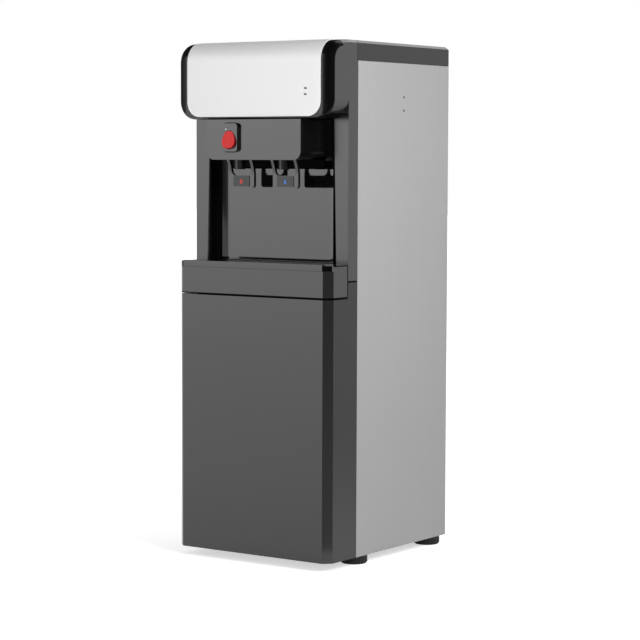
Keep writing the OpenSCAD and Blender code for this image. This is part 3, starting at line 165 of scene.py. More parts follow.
class Effects:
    """Shader node groups that several finishes share, each built once."""

    @staticmethod
    def group(name: str, inputs: dict[str, float | Colour], *outputs: str,
              kind: str = "NodeSocketFloat") -> tuple[Tree, Node, Node]:
        """Makes an empty group with named sockets.

        Args:
            name: The group's name.
            inputs: Socket name to its default value.
            *outputs: The names of the sockets that it puts out.
            kind: Their type.

        Returns:
            The group with its input node and its output node.
        """
        tree = bpy.data.node_groups.new(name, "ShaderNodeTree")
        for label, value in inputs.items():
            toned = isinstance(value, tuple)
            socket = tree.interface.new_socket(
                label, in_out="INPUT", socket_type="NodeSocketColor" if toned else "NodeSocketFloat")
            socket.default_value = (*value, 1.0) if toned else value
        for label in outputs:
            tree.interface.new_socket(label, in_out="OUTPUT", socket_type=kind)
        return tree, tree.nodes.new("NodeGroupInput"), tree.nodes.new("NodeGroupOutput")

    @classmethod
    @cache
    def grain(cls) -> Tree:
        """Fine moulded grain.

        Returns:
            A group that puts out a height and a speck mask.
        """
        tree, given, result = cls.group("fine_grain", {"Scale": 900.0, "Detail": 2.0}, "Height", "Speck")
        place = add(tree, "TexCoord")
        noise = add(tree, "TexNoise")
        speck = new_range(tree, 0.56, 0.72)
        wire(tree, (place, "Object", noise, "Vector"), (given, "Scale", noise, "Scale"),
             (given, "Detail", noise, "Detail"), (noise, "Fac", speck, "Value"),
             (noise, "Fac", result, "Height"), (speck, "Result", result, "Speck"))
        return tree

    @classmethod
    @cache
    def wipes(cls) -> Tree:
        """Broad soft wipe marks that change how sharp the gloss is.

        Returns:
            A group that puts out a roughness.
        """
        tree, given, result = cls.group("wipe_marks", {"Scale": 9.0, "Low": 0.2, "High": 0.3}, "Roughness")
        place = add(tree, "TexCoord")
        stretch = add(tree, "Mapping", Scale=(1.0, 1.0, 0.35))
        noise = add(tree, "TexNoise", Detail=4.0)
        spread = new_range(tree, 0.3, 0.7)
        wire(tree, (place, "Object", stretch, "Vector"), (stretch, "Vector", noise, "Vector"),
             (given, "Scale", noise, "Scale"), (noise, "Fac", spread, "Value"),
             (given, "Low", spread, "To Min"), (given, "High", spread, "To Max"),
             (spread, "Result", result, "Roughness"))
        return tree

    @classmethod
    @cache
    def drift(cls) -> Tree:
        """A slow drift of a colour between two near tones.

        Returns:
            A group that puts out a colour.
        """
        tree, given, result = cls.group(
            "tone_drift", {"Light": (0.5, 0.5, 0.5), "Dark": (0.4, 0.4, 0.4), "Scale": 6.0}, "Colour",
            kind="NodeSocketColor")
        place = add(tree, "TexCoord")
        noise = add(tree, "TexNoise", Detail=3.0)
        mix = add(tree, "Mix")
        mix.data_type = "RGBA"
        wire(tree, (place, "Object", noise, "Vector"), (given, "Scale", noise, "Scale"),
             (noise, "Fac", mix, "Factor"), (given, "Dark", mix, "A"), (given, "Light", mix, "B"),
             (mix, "Result", result, "Colour"))
        return tree

    @classmethod
    @cache
    def streaks(cls) -> Tree:
        """Fine straight streaks left by rolling or brushing.

        Returns:
            A group that puts out a height and a tone from 0 to 1.
        """
        tree, given, result = cls.group(
            "rolled_streaks", {"Fine X": 700.0, "Fine Y": 700.0, "Fine Z": 4.0}, "Height", "Tone")
        place = add(tree, "TexCoord")
        fine = add(tree, "CombineXYZ")
        stretch = new_maths(tree, "MULTIPLY", "VectorMath")
        noise = add(tree, "TexNoise", Scale=1.0, Detail=3.0)
        tone = new_range(tree, 0.3, 0.7)
        wire(tree, *[(given, f"Fine {axis}", fine, axis) for axis in "XYZ"])
        wire(tree, (place, "Object", stretch, 0), (fine, "Vector", stretch, 1),
             (stretch, "Vector", noise, "Vector"), (noise, "Fac", tone, "Value"),
             (noise, "Fac", result, "Height"), (tone, "Result", result, "Tone"))
        return tree


@dataclass(frozen=True)
class Finish:
    """What every finish holds: its name, its colour and how it shines.

    Attributes:
        name: The material's name.
        colour: Its colour, linear.
        sharp: Roughness where the surface is clean.
        dull: Roughness where it has been wiped.
        metal: How metallic it is.
        drift: Share by which the colour drifts darker.
        drift_scale: How fine that drift is, per metre.
        grain: How fine the surface grain is, per metre.
        depth: How deep the grain is, in metres.
        sheen_coat: Weight of the clear layer.
        coat_sharp: Roughness of the clear layer.
        index: Index of refraction.
    """

    name: str
    colour: Colour
    sharp: float = 0.25
    dull: float = 0.33
    metal: float = 0.0
    drift: float = 0.06
    drift_scale: float = 7.0
    grain: float = 1400.0
    depth: float = 0.00001
    sheen_coat: float = 0.0
    coat_sharp: float = 0.1
    index: float = 1.5

    @cache
    def material(self) -> bpy.types.Material:
        """The finish as a material, made the first time it is asked for.

        Returns:
            The material.
        """
        made = bpy.data.materials.new(f"{self.name}_finish")
        made.use_nodes = True
        tree = made.node_tree
        shader = tree.nodes["Principled BSDF"]
        put(shader, **{"Metallic": self.metal, "IOR": self.index, "Coat Weight": self.sheen_coat,
                       "Coat Roughness": self.coat_sharp})
        tone = self.effect(tree, Effects.drift(), Scale=self.drift_scale, Light=(*self.colour, 1.0),
                           Dark=(*[part * (1.0 - self.drift) for part in self.colour], 1.0))
        wipe = self.effect(tree, Effects.wipes(), Low=self.sharp, High=self.dull)
        wire(tree, (tone, "Colour", shader, "Base Color"), (wipe, "Roughness", shader, "Roughness"))
        self.relief(tree, shader)
        return made

    def relief(self, tree: Tree, shader: Node) -> None:
        """Gives the surface its grain, as the shader's normal."""
        grain = self.effect(tree, Effects.grain(), Scale=self.grain, Detail=2.0)
        self.bump(tree, shader, grain.outputs["Height"], self.depth)

    @staticmethod
    def effect(tree: Tree, group: Tree, **values: Value) -> Node:
        """Places a shared effect in a material.

        Args:
            tree: The material's nodes.
            group: The effect.
            **values: Its inputs by name.

        Returns:
            The group's node.
        """
        node = add(tree, "Group")
        node.node_tree = group
        return put(node, **values)

    @staticmethod
    def bump(tree: Tree, shader: Node, height: bpy.types.NodeSocket,
             depth: float) -> None:
        """Turns a height into the shader's normal.

        Args:
            tree: The material's nodes.
            shader: The shader.
            height: The height, from 0 to 1.
            depth: What a height of 1 stands for, in metres.
        """
        node = add(tree, "Bump", Distance=depth)
        tree.links.new(height, node.inputs["Height"])
        wire(tree, (node, "Normal", shader, "Normal"))


@dataclass(frozen=True)
class StreakedSheet(Finish):
    """Coated or brushed sheet metal with fine straight streaks.

    Attributes:
        streak: Fineness of the streaks along each axis, per metre.
        contrast: Share by which a streak is darker.
    """

    streak: Point = (900.0, 900.0, 5.0)
    contrast: float = 0.05

    def relief(self, tree: Tree, shader: Node) -> None:
        """Lays the streaks over the colour and into the surface.

        Args:
            tree: The material's nodes.
            shader: The shader that takes the colour and the normal.
        """
        lines = self.effect(tree, Effects.streaks(), **{f"Fine {a}": v for a, v in zip("XYZ", self.streak)})
        shade = add(tree, "Mix")
        shade.data_type = "RGBA"
        shade.blend_type = "MULTIPLY"
        shade.inputs["B"].default_value = (*[1.0 - self.contrast] * 3, 1.0)
        plain = shader.inputs["Base Color"].links[0].from_socket
        wire(tree, (lines, "Tone", shade, "Factor"))
        tree.links.new(plain, shade.inputs["A"])
        wire(tree, (shade, "Result", shader, "Base Color"))
        self.bump(tree, shader, lines.outputs["Height"], self.depth)


@dataclass(frozen=True)
class FlakePaint(Finish):
    """Silver paint over plastic, with fine metal flake.

    Attributes:
        flake: Colour of a bright flake.
    """

    flake: Colour = (0.96, 0.96, 0.96)

    def relief(self, tree: Tree, shader: Node) -> None:
        """Scatters the flake over the colour.

        Args:
            tree: The material's nodes.
            shader: The shader that takes the colour and the normal.
        """
        grain = self.effect(tree, Effects.grain(), Scale=self.grain, Detail=1.0)
        mix = add(tree, "Mix")
        mix.data_type = "RGBA"
        mix.inputs["B"].default_value = (*self.flake, 1.0)
        plain = shader.inputs["Base Color"].links[0].from_socket
        wire(tree, (grain, "Speck", mix, "Factor"))
        tree.links.new(plain, mix.inputs["A"])
        wire(tree, (mix, "Result", shader, "Base Color"))
        self.bump(tree, shader, grain.outputs["Height"], self.depth)


CHARCOAL_GLOSS = Finish("charcoal_gloss", (0.004, 0.004, 0.0041), 0.13, 0.17, depth=0.000003, drift=0.05,
                        index=1.8)
CHARCOAL_DOOR = replace(CHARCOAL_GLOSS, name="charcoal_door", index=1.76)
CHARCOAL_LINER = Finish("charcoal_liner", (0.004, 0.004, 0.0041), 0.04, 0.06, depth=0.000001, index=1.8)
CHARCOAL_SATIN = Finish("charcoal_satin", (0.005, 0.005, 0.0052), 0.20, 0.26, grain=1800.0, depth=0.000006,
                        index=1.8)
# Painted sheen: the satin charcoal made to reflect more, for side faces that are to read brighter.
CHARCOAL_SHEEN = replace(CHARCOAL_SATIN, name="charcoal_sheen", index=2.05)
# Painted shade: a charcoal that reflects less, for the top cover and the lower front's side faces, which are
# to read darker.
CHARCOAL_SHADED = replace(CHARCOAL_SATIN, name="charcoal_shaded", colour=(0.012, 0.012, 0.0123), sharp=0.22,
                        dull=0.28, index=1.6)
# Painted shade: a near-black that hardly reflects, put on undersides, the alcove's cheeks, the pillars' inner
# faces, a notch and the joints between mouldings, where shade falls.
PAINTED_SHADE_BLACK = Finish("painted_shade_black", (0.002, 0.002, 0.002), 0.5, 0.6, grain=1800.0, depth=0.000006,
                      index=1.12)
BLACK_GLOSS = Finish("black_gloss", (0.002, 0.002, 0.0021), 0.10, 0.14, depth=0.000002)
# Painted shade: the black gloss made to reflect less, for faces that are to read darker.
BLACK_GLOSS_SHADED = replace(BLACK_GLOSS, name="black_gloss_shaded", index=1.2)
BLACK_SATIN = Finish("black_satin", (0.006, 0.006, 0.0063), 0.20, 0.28, grain=2200.0)
BLACK_MATTE = Finish("black_matte", (0.012, 0.012, 0.0125), 0.45, 0.6, grain=1600.0, depth=0.00005)
SILVER_FASCIA = FlakePaint("silver_fascia", (0.90, 0.90, 0.90), 0.42, 0.48, metal=0.1, drift=0.02,
                           grain=5000.0, depth=0.000004)
PANEL_SILVER = StreakedSheet("panel_silver", (0.375, 0.375, 0.378), 0.38, 0.46, metal=0.25, drift=0.04,
                             drift_scale=3.0, streak=(1100.0, 1100.0, 3.0), contrast=0.07)
COVER_GREY = StreakedSheet("cover_grey", (0.42, 0.43, 0.44), 0.42, 0.5, metal=0.15,
                           streak=(900.0, 900.0, 4.0))
SHEET_GREY = Finish("sheet_grey", (0.16, 0.165, 0.17), 0.42, 0.5, grain=1200.0, depth=0.00003)
STAINLESS = StreakedSheet("stainless", (0.62, 0.62, 0.63), 0.24, 0.32, metal=1.0, streak=(900.0, 900.0, 12.0))
SPRING_STEEL = Finish("spring_steel", (0.55, 0.55, 0.57), 0.25, 0.3, metal=1.0)
COPPER = Finish("copper", (0.75, 0.36, 0.22), 0.25, 0.38, metal=1.0, drift=0.3, drift_scale=40.0,
                depth=0.00002)
BLACK_ENAMEL = Finish("black_enamel", (0.012, 0.012, 0.013), 0.25, 0.34, depth=0.00004, grain=600.0)
RUBBER = Finish("rubber", (0.016, 0.016, 0.017), 0.55, 0.7, grain=1500.0, depth=0.00005)
FOAM = Finish("foam", (0.80, 0.78, 0.70), 0.8, 0.95, grain=500.0, depth=0.0003, drift=0.12)
WHITE_PLASTIC = Finish("white_plastic", (0.78, 0.78, 0.75), 0.34, 0.44, depth=0.00002)
MILKY_TUBE = Finish("milky_tube", (0.70, 0.70, 0.64), 0.28, 0.36)
RED_GLOSS = Finish("red_gloss", (0.74, 0.028, 0.028), 0.36, 0.44, depth=0.000004, index=1.3)
# Painted shade: a deep red for the button's sides and lower right, on a button that is one red.
RED_PAINTED_SHADE = Finish("red_painted_shade", (0.26, 0.004, 0.006), 0.36, 0.44, depth=0.000004, index=1.4)
RED_MARK = Finish("red_mark", (0.62, 0.03, 0.025), 0.35, 0.42)
BLUE_MARK = Finish("blue_mark", (0.05, 0.16, 0.48), 0.35, 0.42)
BLUE_GLOSS = Finish("blue_gloss", (0.02, 0.08, 0.34), 0.2, 0.28)
LABEL_GREY = Finish("label_grey", (0.022, 0.0225, 0.023), 0.2, 0.26, depth=0.000004)
DARK_LENS = Finish("dark_lens", (0.02, 0.02, 0.022), 0.12, 0.16, sheen_coat=0.5)
WHITE_LENS = Finish("white_lens", (0.82, 0.82, 0.80), 0.2, 0.25, sheen_coat=0.4)
BOARD_GREEN = Finish("board_green", (0.015, 0.12, 0.04), 0.3, 0.4, drift=0.3, drift_scale=60.0)


class Bench:
    """Modelling steps by Blender's own operators, each on one piece."""

    @staticmethod
    def clear() -> None:
        """Leaves edit mode and selects nothing."""
        if bpy.context.mode != "OBJECT":
            switch("OBJECT")
        bpy.ops.object.select_all(action="DESELECT")

    @classmethod
    def hold(cls, piece: Piece) -> None:
        """Selects one piece and makes it active.

        Args:
            piece: The piece to work on.
        """
        cls.clear()
        piece.select_set(True)
        bpy.context.view_layer.objects.active = piece

    @classmethod
    def choose(cls, piece: Piece, element: Element, test: Callable[..., bool]) -> None:
        """Selects some of a piece's corners, edges or faces, and stays in edit mode.

        Args:
            piece: The piece.
            element: Which of them.
            test: Says of one of them whether it is selected.
        """
        kind, place = element.value
        cls.hold(piece)
        switch("EDIT")
        bpy.ops.mesh.select_mode(type=kind)
        bpy.ops.mesh.select_all(action="DESELECT")
        switch("OBJECT")
        for part in getattr(piece.data, place):
            part.select = test(part)
        switch("EDIT")

    @classmethod
    def take_over(cls, node: str) -> Piece:
        """Copies a CAD node's mesh into a new piece, with its loose triangles joined.

        Args:
            node: The CAD node.

        Returns:
            The new piece, at the origin.
        """
        name = f"{node}_cleaned"
        mesh = frame["nodes"][node].data.copy()
        mesh.name = name
        mesh.materials.clear()
        piece = bpy.data.objects.new(name, mesh)
        bpy.context.scene.collection.objects.link(piece)
        cls.hold(piece)
        switch("EDIT")
        bpy.ops.mesh.select_all(action="SELECT")
        bpy.ops.mesh.remove_doubles(threshold=0.00001)
        bpy.ops.mesh.dissolve_limited(angle_limit=math.radians(0.3))
        switch("OBJECT")
        if mesh.has_custom_normals:
            bpy.ops.mesh.customdata_custom_splitnormals_clear()
        return piece

    @classmethod
    def ease(cls, piece: Piece, width: float = 0.4 * MM, segments: int = 2, angle: float = 32.0) -> None:
        """Rounds a piece's sharp edges a little and shades it smooth between them.

        Args:
            piece: The piece.
            width: Width of the rounding, in metres.
            segments: Steps across the rounding.
            angle: Edges sharper than this, in degrees, are rounded.
        """
        cls.hold(piece)
        if width > 0.0:
            rounding = piece.modifiers.new("eased edges", "BEVEL")
            rounding.width = width
            rounding.segments = segments
            rounding.limit_method = "ANGLE"
            rounding.angle_limit = math.radians(angle)
            rounding.use_clamp_overlap = True
            bpy.ops.object.modifier_apply(modifier=rounding.name)
        bpy.ops.object.shade_smooth_by_angle(angle=math.radians(angle))
        weighted = piece.modifiers.new("even shading", "WEIGHTED_NORMAL")
        weighted.mode = "FACE_AREA"
        weighted.weight = 100
        weighted.keep_sharp = True
        bpy.ops.object.modifier_apply(modifier=weighted.name)

    @classmethod
    def round_edges(cls, piece: Piece, width: float, segments: int,
                    test: Callable[[Vector, Vector], bool]) -> None:
        """Rounds some of a piece's edges more than the rest.

        Args:
            piece: The piece.
            width: Width of the rounding, in metres.
            segments: Steps across the rounding.
            test: Says of an edge's two ends whether it is rounded.
        """
        corners = piece.data.vertices
        cls.choose(piece, Element.EDGES, lambda edge: test(*[corners[end].co for end in edge.vertices]))
        bpy.ops.mesh.bevel(offset=width, segments=segments, affect="EDGES")
        switch("OBJECT")

    @classmethod
    def swell(cls, piece: Piece, about: Vector, factor: Point, test: Callable[[Vector], bool]) -> None:
        """Scales some of a piece's corners about a point.

        Args:
            piece: The piece.
            about: The point that stays, in metres.
            factor: The scale along X, Y and Z.
            test: Says of a corner's place whether it is scaled.
        """
        cls.choose(piece, Element.CORNERS, lambda corner: test(corner.co))
        bpy.ops.transform.resize(value=factor, center_override=about)
        switch("OBJECT")

    @classmethod
    def score(cls, piece: Piece, place: Point, across: Point) -> None:
        """Scores a piece's faces along a plane, so that each side can take its own finish.

        Args:
            piece: The piece.
            place: A point on the plane, in metres.
            across: The plane's normal.
        """
        cls.hold(piece)
        switch("EDIT")
        bpy.ops.mesh.select_all(action="SELECT")
        bpy.ops.mesh.bisect(plane_co=place, plane_no=across)
        switch("OBJECT")

    @staticmethod
    def paint(piece: Piece, finish: Finish,
              *others: tuple[Finish, Callable[[bpy.types.MeshPolygon], bool]]) -> None:
        """Gives a piece its finishes.

        Args:
            piece: The piece.
            finish: The finish that it has all over.
            *others: Further finishes, each with a test that says of a face whether it takes it.
        """
        piece.data.materials.clear()
        piece.data.materials.append(finish.material())
        for slot, (other, test) in enumerate(others, 1):
            piece.data.materials.append(other.material())
            for face in piece.data.polygons:
                if test(face):
                    face.material_index = slot


@dataclass
class Assembly:
    """What a sub-assembly of the cooler has: pieces, and the CAD nodes they stand for."""

    pieces: list[Piece] = field(default_factory=list)

    def keep(self, piece: Piece, like: str, *nodes: str) -> Piece:
        """Fixes a finished piece to its body and hides the nodes it stands for.

        Args:
            piece: The piece.
            like: The CAD node whose body it rides on.
            *nodes: The CAD nodes it replaces.

        Returns:
            The piece.
        """
        body, slot = BODY_OF[like], SLOT_OF[like]
        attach(piece, body)
        if nodes:
            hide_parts(*nodes)
        self.pieces.append(piece)
        return piece

    def carry(self, node: str, finish: Finish, width: float = 0.4 * MM, segments: int = 2,
              scores: Sequence[tuple[Point, Point]] = ()) -> Piece:
        """Takes a CAD node over as a piece with eased edges.

        Args:
            node: The CAD node.
            finish: Its finish.
            width: How far its edges are rounded, in metres.
            segments: Steps across the rounding.
            scores: A point and a normal for each plane its faces are scored along.

        Returns:
            The new piece.
        """
        piece = Bench.take_over(node)
        for place, across in scores:
            Bench.score(piece, place, across)
        Bench.ease(piece, width, segments)
        Bench.paint(piece, finish)
        return self.keep(piece, node, node)

    def spring(self, node: str, joint: str, travel: float) -> Piece:
        """Takes a coil spring over as a piece with a mesh of its own.

        Args:
            node: The spring's CAD node.
            joint: Not used.
            travel: Not used.

        Returns:
            The new piece.
        """
        piece = self.carry(node, SPRING_STEEL, 0.0)
        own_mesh(piece)
        return piece

    def coat(self, finish: Finish, *nodes: str) -> None:
        """Gives CAD nodes that stay as they are their finish."""
        for node in nodes:
            Bench.paint(frame["nodes"][node], finish)


BODY_OF = {node: body for body, nodes in frame["record"]["behaviour"]["bodies"].items() for node in nodes}
SLOT_OF = {part["node"]: part["material_slot"] for part in frame["record"]["subparts"]}


@dataclass
class Cabinet(Assembly):
    """The sheet-metal body with its base, feet, rear cover and top.

    Attributes:
        sheet_edge: Rounding of the sheet metal's edges, in metres.
        cap_edge: The same for the top cover.
        foot_edge: The same for the feet.
        screw_edge: The same for the screws.
    """

    sheet_edge: float = 0.35 * MM
    cap_edge: float = 1.0 * MM
    foot_edge: float = 0.5 * MM
    screw_edge: float = 0.2 * MM

    def build(self) -> None:
        """Makes the panels, the top cover, the feet and the screws."""
        for side in ("left", "right"):
            self.carry(f"side_panel_{side}", PANEL_SILVER, self.sheet_edge)
        # The top cover takes the less reflective charcoal, as painted shade.
        self.carry("top_cover", CHARCOAL_SHADED, self.cap_edge, 3)
        self.carry("base_pan", SHEET_GREY, self.sheet_edge)
        self.carry("rear_cover", COVER_GREY, self.sheet_edge)
        for place in ("front_left", "front_right", "rear_left", "rear_right"):
            self.carry(f"foot_{place}", BLACK_MATTE, self.foot_edge)
        self.carry("screws", BLACK_ENAMEL, self.screw_edge)


@dataclass
class LowerFront(Assembly):
    """The lower front panel, the tray housing and the lift-out tray.

    Attributes:
        moulding_edge: Rounding of the mouldings' edges, in metres.
        lip_edge: The same for the tray lip.
        tray_edge: The same for the tray.
        grille_edge: The same for the grille.
        joint: Width of the joints between the mouldings, painted near-black as the shade in their gaps, in
            metres.
        cheek_rear: Where the tray housing's cheeks end at the back, in metres.
    """

    moulding_edge: float = 1.2 * MM
    lip_edge: float = 0.5 * MM
    tray_edge: float = 0.6 * MM
    grille_edge: float = 0.25 * MM
    joint: float = 2.0 * MM
    cheek_rear: float = -137.1 * MM

    def build(self) -> None:
        """Makes the panel, the housing, the tray, its lip and its grille."""
        self.door()
        self.housing()
        lip = self.carry("tray_lip", CHARCOAL_DOOR, self.lip_edge)
        # The lip's ends take the near-black, painted shade as of a finger notch.
        Bench.paint(lip, CHARCOAL_DOOR, (PAINTED_SHADE_BLACK, lambda face: abs(face.normal.x) > LEANS))
        self.carry("drip_tray", BLACK_SATIN, self.tray_edge)
        self.carry("drip_grille", BLACK_SATIN, self.grille_edge)

    def door(self) -> None:
        """Makes the lower front panel. Its side faces take the less reflective charcoal as painted shade, and
        a strip along the top of its cheeks the near-black, as painted shade in the joint.
        """
        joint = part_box("front_panel")[1][2] - self.joint
        panel = self.carry("front_panel", CHARCOAL_DOOR, self.moulding_edge, 3,
                           [((0.0, 0.0, joint), (0.0, 0.0, 1.0))])
        Bench.paint(panel, CHARCOAL_DOOR, (CHARCOAL_SHADED, lambda face: abs(face.normal.x) > LOOKS),
                    (PAINTED_SHADE_BLACK, lambda face: face.center.z > joint))

    def housing(self) -> None:
        """Makes the tray's housing. Its side faces take the more reflective charcoal as painted sheen; its
        joints and the rounded corners above the lip's bottom take the near-black as painted shade.
        """
        low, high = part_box("tray_housing")
        rear, foot, top = self.cheek_rear - self.joint, low[2] + self.joint, high[2] - self.joint
        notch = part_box("tray_lip")[0][2]
        levels = [((0.0, 0.0, level), (0.0, 0.0, 1.0)) for level in (foot, top, notch)]
        housing = self.carry("tray_housing", CHARCOAL_DOOR, self.moulding_edge, 3,
                             [((0.0, rear, 0.0), (0.0, 1.0, 0.0)), *levels])
        Bench.paint(housing, CHARCOAL_DOOR, (CHARCOAL_SHEEN, lambda face: abs(face.normal.x) > LOOKS),
                    (PAINTED_SHADE_BLACK, lambda face: face.center.z < foot or (
                        face.center.y > rear or face.center.z > top if abs(face.normal.x) > LOOKS
                        else face.center.z > notch and LEANS < abs(face.normal.x) < LOOKS)))


@dataclass
class Head(Assembly):
    """The upper frame with the rolled head, its bezel and its silver fascia.

    Attributes:
        moulding_edge: Rounding of the frame's edges, in metres.
        fascia_edge: The same for the fascia.
        lens_edge: The same for the lenses.
        pillar_round: Rounding of the pillars towards the alcove, in metres.
        pillar_inner: How far the pillars' inner faces are from the middle, in metres.
        pillar_front: Where the pillars' front faces are, in metres.
        rim_end: How far from the middle the bezel's bright rim ends and its painted shade begins, in metres.
        beside: How far past the pillars' inner faces a face still belongs to them, in metres.
        under_head: How far below the bezel the head's underside begins, in metres.
        underside: Share of a face's normal along Z below which it is on an underside.
        near: How near a corner lies to the line it is tested for, in metres.
        upright: Length from which an edge is a pillar's, in metres.
    """

    moulding_edge: float = 0.9 * MM
    fascia_edge: float = 0.5 * MM
    lens_edge: float = 0.15 * MM
    pillar_round: float = 6.0 * MM
    pillar_inner: float = 139.0 * MM
    pillar_front: float = -136.5 * MM
    rim_end: float = 151.5 * MM
    beside: float = 3.0 * MM
    under_head: float = 30.0 * MM
    underside: float = -0.7
    near: float = 0.4 * MM
    upright: float = 50.0 * MM

    def build(self) -> None:
        """Makes the frame, the bezel, the fascia and the lenses."""
        self.frame_moulding()
        self.bezel()
        self.carry("head_fascia", SILVER_FASCIA, self.fascia_edge, 3)
        lenses = self.carry("signal_lenses", DARK_LENS, self.lens_edge)
        Bench.paint(lenses, DARK_LENS, (WHITE_LENS, lambda face: face.center.x < 0.0))

    def frame_moulding(self) -> None:
        """Makes the upper frame, whose pillars are rounded towards the alcove. Its side faces take the more
        reflective charcoal as painted sheen; the pillars' inner faces and the head's underside take the
        near-black as painted shade.
        """
        moulding = Bench.take_over("upper_frame")
        Bench.round_edges(moulding, self.pillar_round, 4, self.by_the_alcove)
        Bench.ease(moulding, self.moulding_edge, 3)
        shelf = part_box("head_bezel")[0][2] - self.under_head
        Bench.paint(moulding, CHARCOAL_SATIN, (CHARCOAL_SHEEN, lambda face: abs(face.normal.x) > LOOKS),
                    (PAINTED_SHADE_BLACK, lambda face: abs(face.center.x) < self.pillar_inner + self.beside
                     and face.normal.x * face.center.x < -LOOKS * abs(face.center.x)
                     or face.normal.z < self.underside and face.center.z > shelf))
        self.keep(moulding, "upper_frame", "upper_frame")

    def by_the_alcove(self, start: Vector, end: Vector) -> bool:
        """Says whether an edge is a pillar's inner front edge.

        Args:
            start: One end of the edge.
            end: Its other end.

        Returns:
            True for such an edge.
        """
        return abs(start.z - end.z) > self.upright and all(
            abs(abs(point.x) - self.pillar_inner) < self.near and abs(point.y - self.pillar_front) < self.near
            for point in (start, end))

    def bezel(self) -> None:
        """Makes the bezel: a bright rim round the fascia, and ends that take the less reflective black as
        painted shade.
        """
        ring = self.carry("head_bezel", BLACK_GLOSS, scores=[
            ((side * self.rim_end, 0.0, 0.0), (1.0, 0.0, 0.0)) for side in (-1.0, 1.0)])
        Bench.paint(ring, BLACK_GLOSS, (BLACK_GLOSS_SHADED, lambda face: abs(face.center.x) > self.rim_end))


@dataclass
class Alcove(Assembly):
    """The alcove with its liner, the housing over the taps and the safety button.

    Attributes:
        soft_edge: Rounding of the housing's and the button's edges, in metres.
        push: How far the button presses its spring together, in metres.
        corner: Where the back wall and the right cheek meet, in metres.
        corner_radius: The CAD liner's corner radius, in metres.
        slack: How near a mesh corner lies to the arc it is tested for, in metres.
        rim: Where the liner's front rim begins, in metres.
        cheek: Share of a face's normal along X from which it is on a cheek.
        left_corner: How much fuller the left corner is made, along X, Y and Z.
        right_corner: The same for the right corner.
        button_round: Rounding of the button's edge, in metres.
        button_side: Share of a face's normal along Y from which it is on the button's side, which takes the
            painted shade.
        button_shade: Share to the right or down from which a face takes the painted shade too.
        rail_size: The rail's width, depth and height, in metres.
        rail_lip: Width of the lip round the rail's front, in metres.
        rail_gap: Gap between the rail and what it lies against, in metres.
        rail_edge: Rounding of the rail's edges, in metres.
    """

    soft_edge: float = 1.4 * MM
    push: float = 1.78 * MM
    corner: Point = (137.0 * MM, -107.0 * MM, 0.0)
    corner_radius: float = 14.0 * MM
    slack: float = 0.5 * MM
    rim: float = -135.0 * MM
    cheek: float = 0.6
    left_corner: Point = (23.0 / 14.0, 20.0 / 14.0, 1.0)
    right_corner: Point = (28.0 / 14.0, 19.0 / 14.0, 1.0)
    button_round: float = 2.6 * MM
    button_side: float = -0.3
    button_shade: float = 0.45
    rail_size: Point = (208.0 * MM, 12.0 * MM, 16.0 * MM)
    rail_lip: float = 2.0 * MM
    rail_gap: float = 0.1 * MM
    rail_edge: float = 0.6 * MM

    def build(self) -> None:
        """Makes the liner, the housing with its rail, and the button."""
        self.liner()
        self.rail()
        housing = self.carry("tap_housing", CHARCOAL_GLOSS, self.soft_edge, 4)
        # Painted shade: the housing's left and lower faces take the less reflective black.
        Bench.paint(housing, CHARCOAL_GLOSS,
                    (BLACK_GLOSS_SHADED, lambda face: min(face.normal.x, face.normal.z) < -LEANS))
        boss = self.carry("button_bezel", CHARCOAL_GLOSS, self.soft_edge, 4)
        # Painted shade: the boss's left and top faces take the less reflective black.
        Bench.paint(boss, CHARCOAL_GLOSS,
                    (BLACK_GLOSS_SHADED, lambda face: max(-face.normal.x, face.normal.z) > LEANS))
        button = self.carry("safety_button", RED_GLOSS, self.button_round, 5)
        # Painted shade: the button's sides and lower right take a deep red, on a button that is one red.
        Bench.paint(button, RED_GLOSS, (RED_PAINTED_SHADE, lambda face: face.normal.y > self.button_side
                                        or max(face.normal.x, -face.normal.z) > self.button_shade))
        self.spring("button_spring", "button_pivot", self.push)

    def liner(self) -> None:
        """Makes the liner, with fuller upright corners; its cheeks and its front rim take the near-black as
        painted shade.
        """
        liner = Bench.take_over("alcove_liner")
        for side, fuller in ((-1.0, self.left_corner), (1.0, self.right_corner)):
            corner = Vector((side * self.corner[0], self.corner[1], 0.0))
            middle = corner - Vector((side * self.corner_radius, self.corner_radius, 0.0))
            Bench.swell(liner, corner, fuller,
                        lambda place: abs((place - middle).xy.length - self.corner_radius) < self.slack
                        and min(side * (place.x - middle.x), place.y - middle.y) > -self.slack)
        Bench.ease(liner)
        Bench.paint(liner, CHARCOAL_LINER, (
            PAINTED_SHADE_BLACK, lambda face: abs(face.normal.x) > self.cheek or face.center.y < self.rim))
        self.keep(liner, "alcove_liner", "alcove_liner")

    def rail(self) -> None:
        """Makes the rail that the housing stands on, along the back wall behind the taps, in the near-black
        of the painted shade.
        """
        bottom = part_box("tap_housing")[0][2]
        Bench.clear()
        bpy.ops.mesh.primitive_cube_add(size=1.0)
        rail = bpy.context.active_object
        rail.name = "housing_rail"
        switch("EDIT")
        bpy.ops.mesh.select_all(action="SELECT")
        bpy.ops.transform.resize(value=self.rail_size)
        bpy.ops.transform.translate(value=(0.0, self.corner[1] - self.rail_size[1] / 2.0 - self.rail_gap,
                                           bottom - self.rail_size[2] / 2.0 - self.rail_gap))
        Bench.choose(rail, Element.FACES, lambda face: face.normal.y < -LOOKS)
        bpy.ops.mesh.inset(thickness=self.rail_lip, depth=-self.rail_lip)
        switch("OBJECT")
        Bench.ease(rail, self.rail_edge, 3)
        Bench.paint(rail, PAINTED_SHADE_BLACK)
        self.keep(rail, "tap_housing")


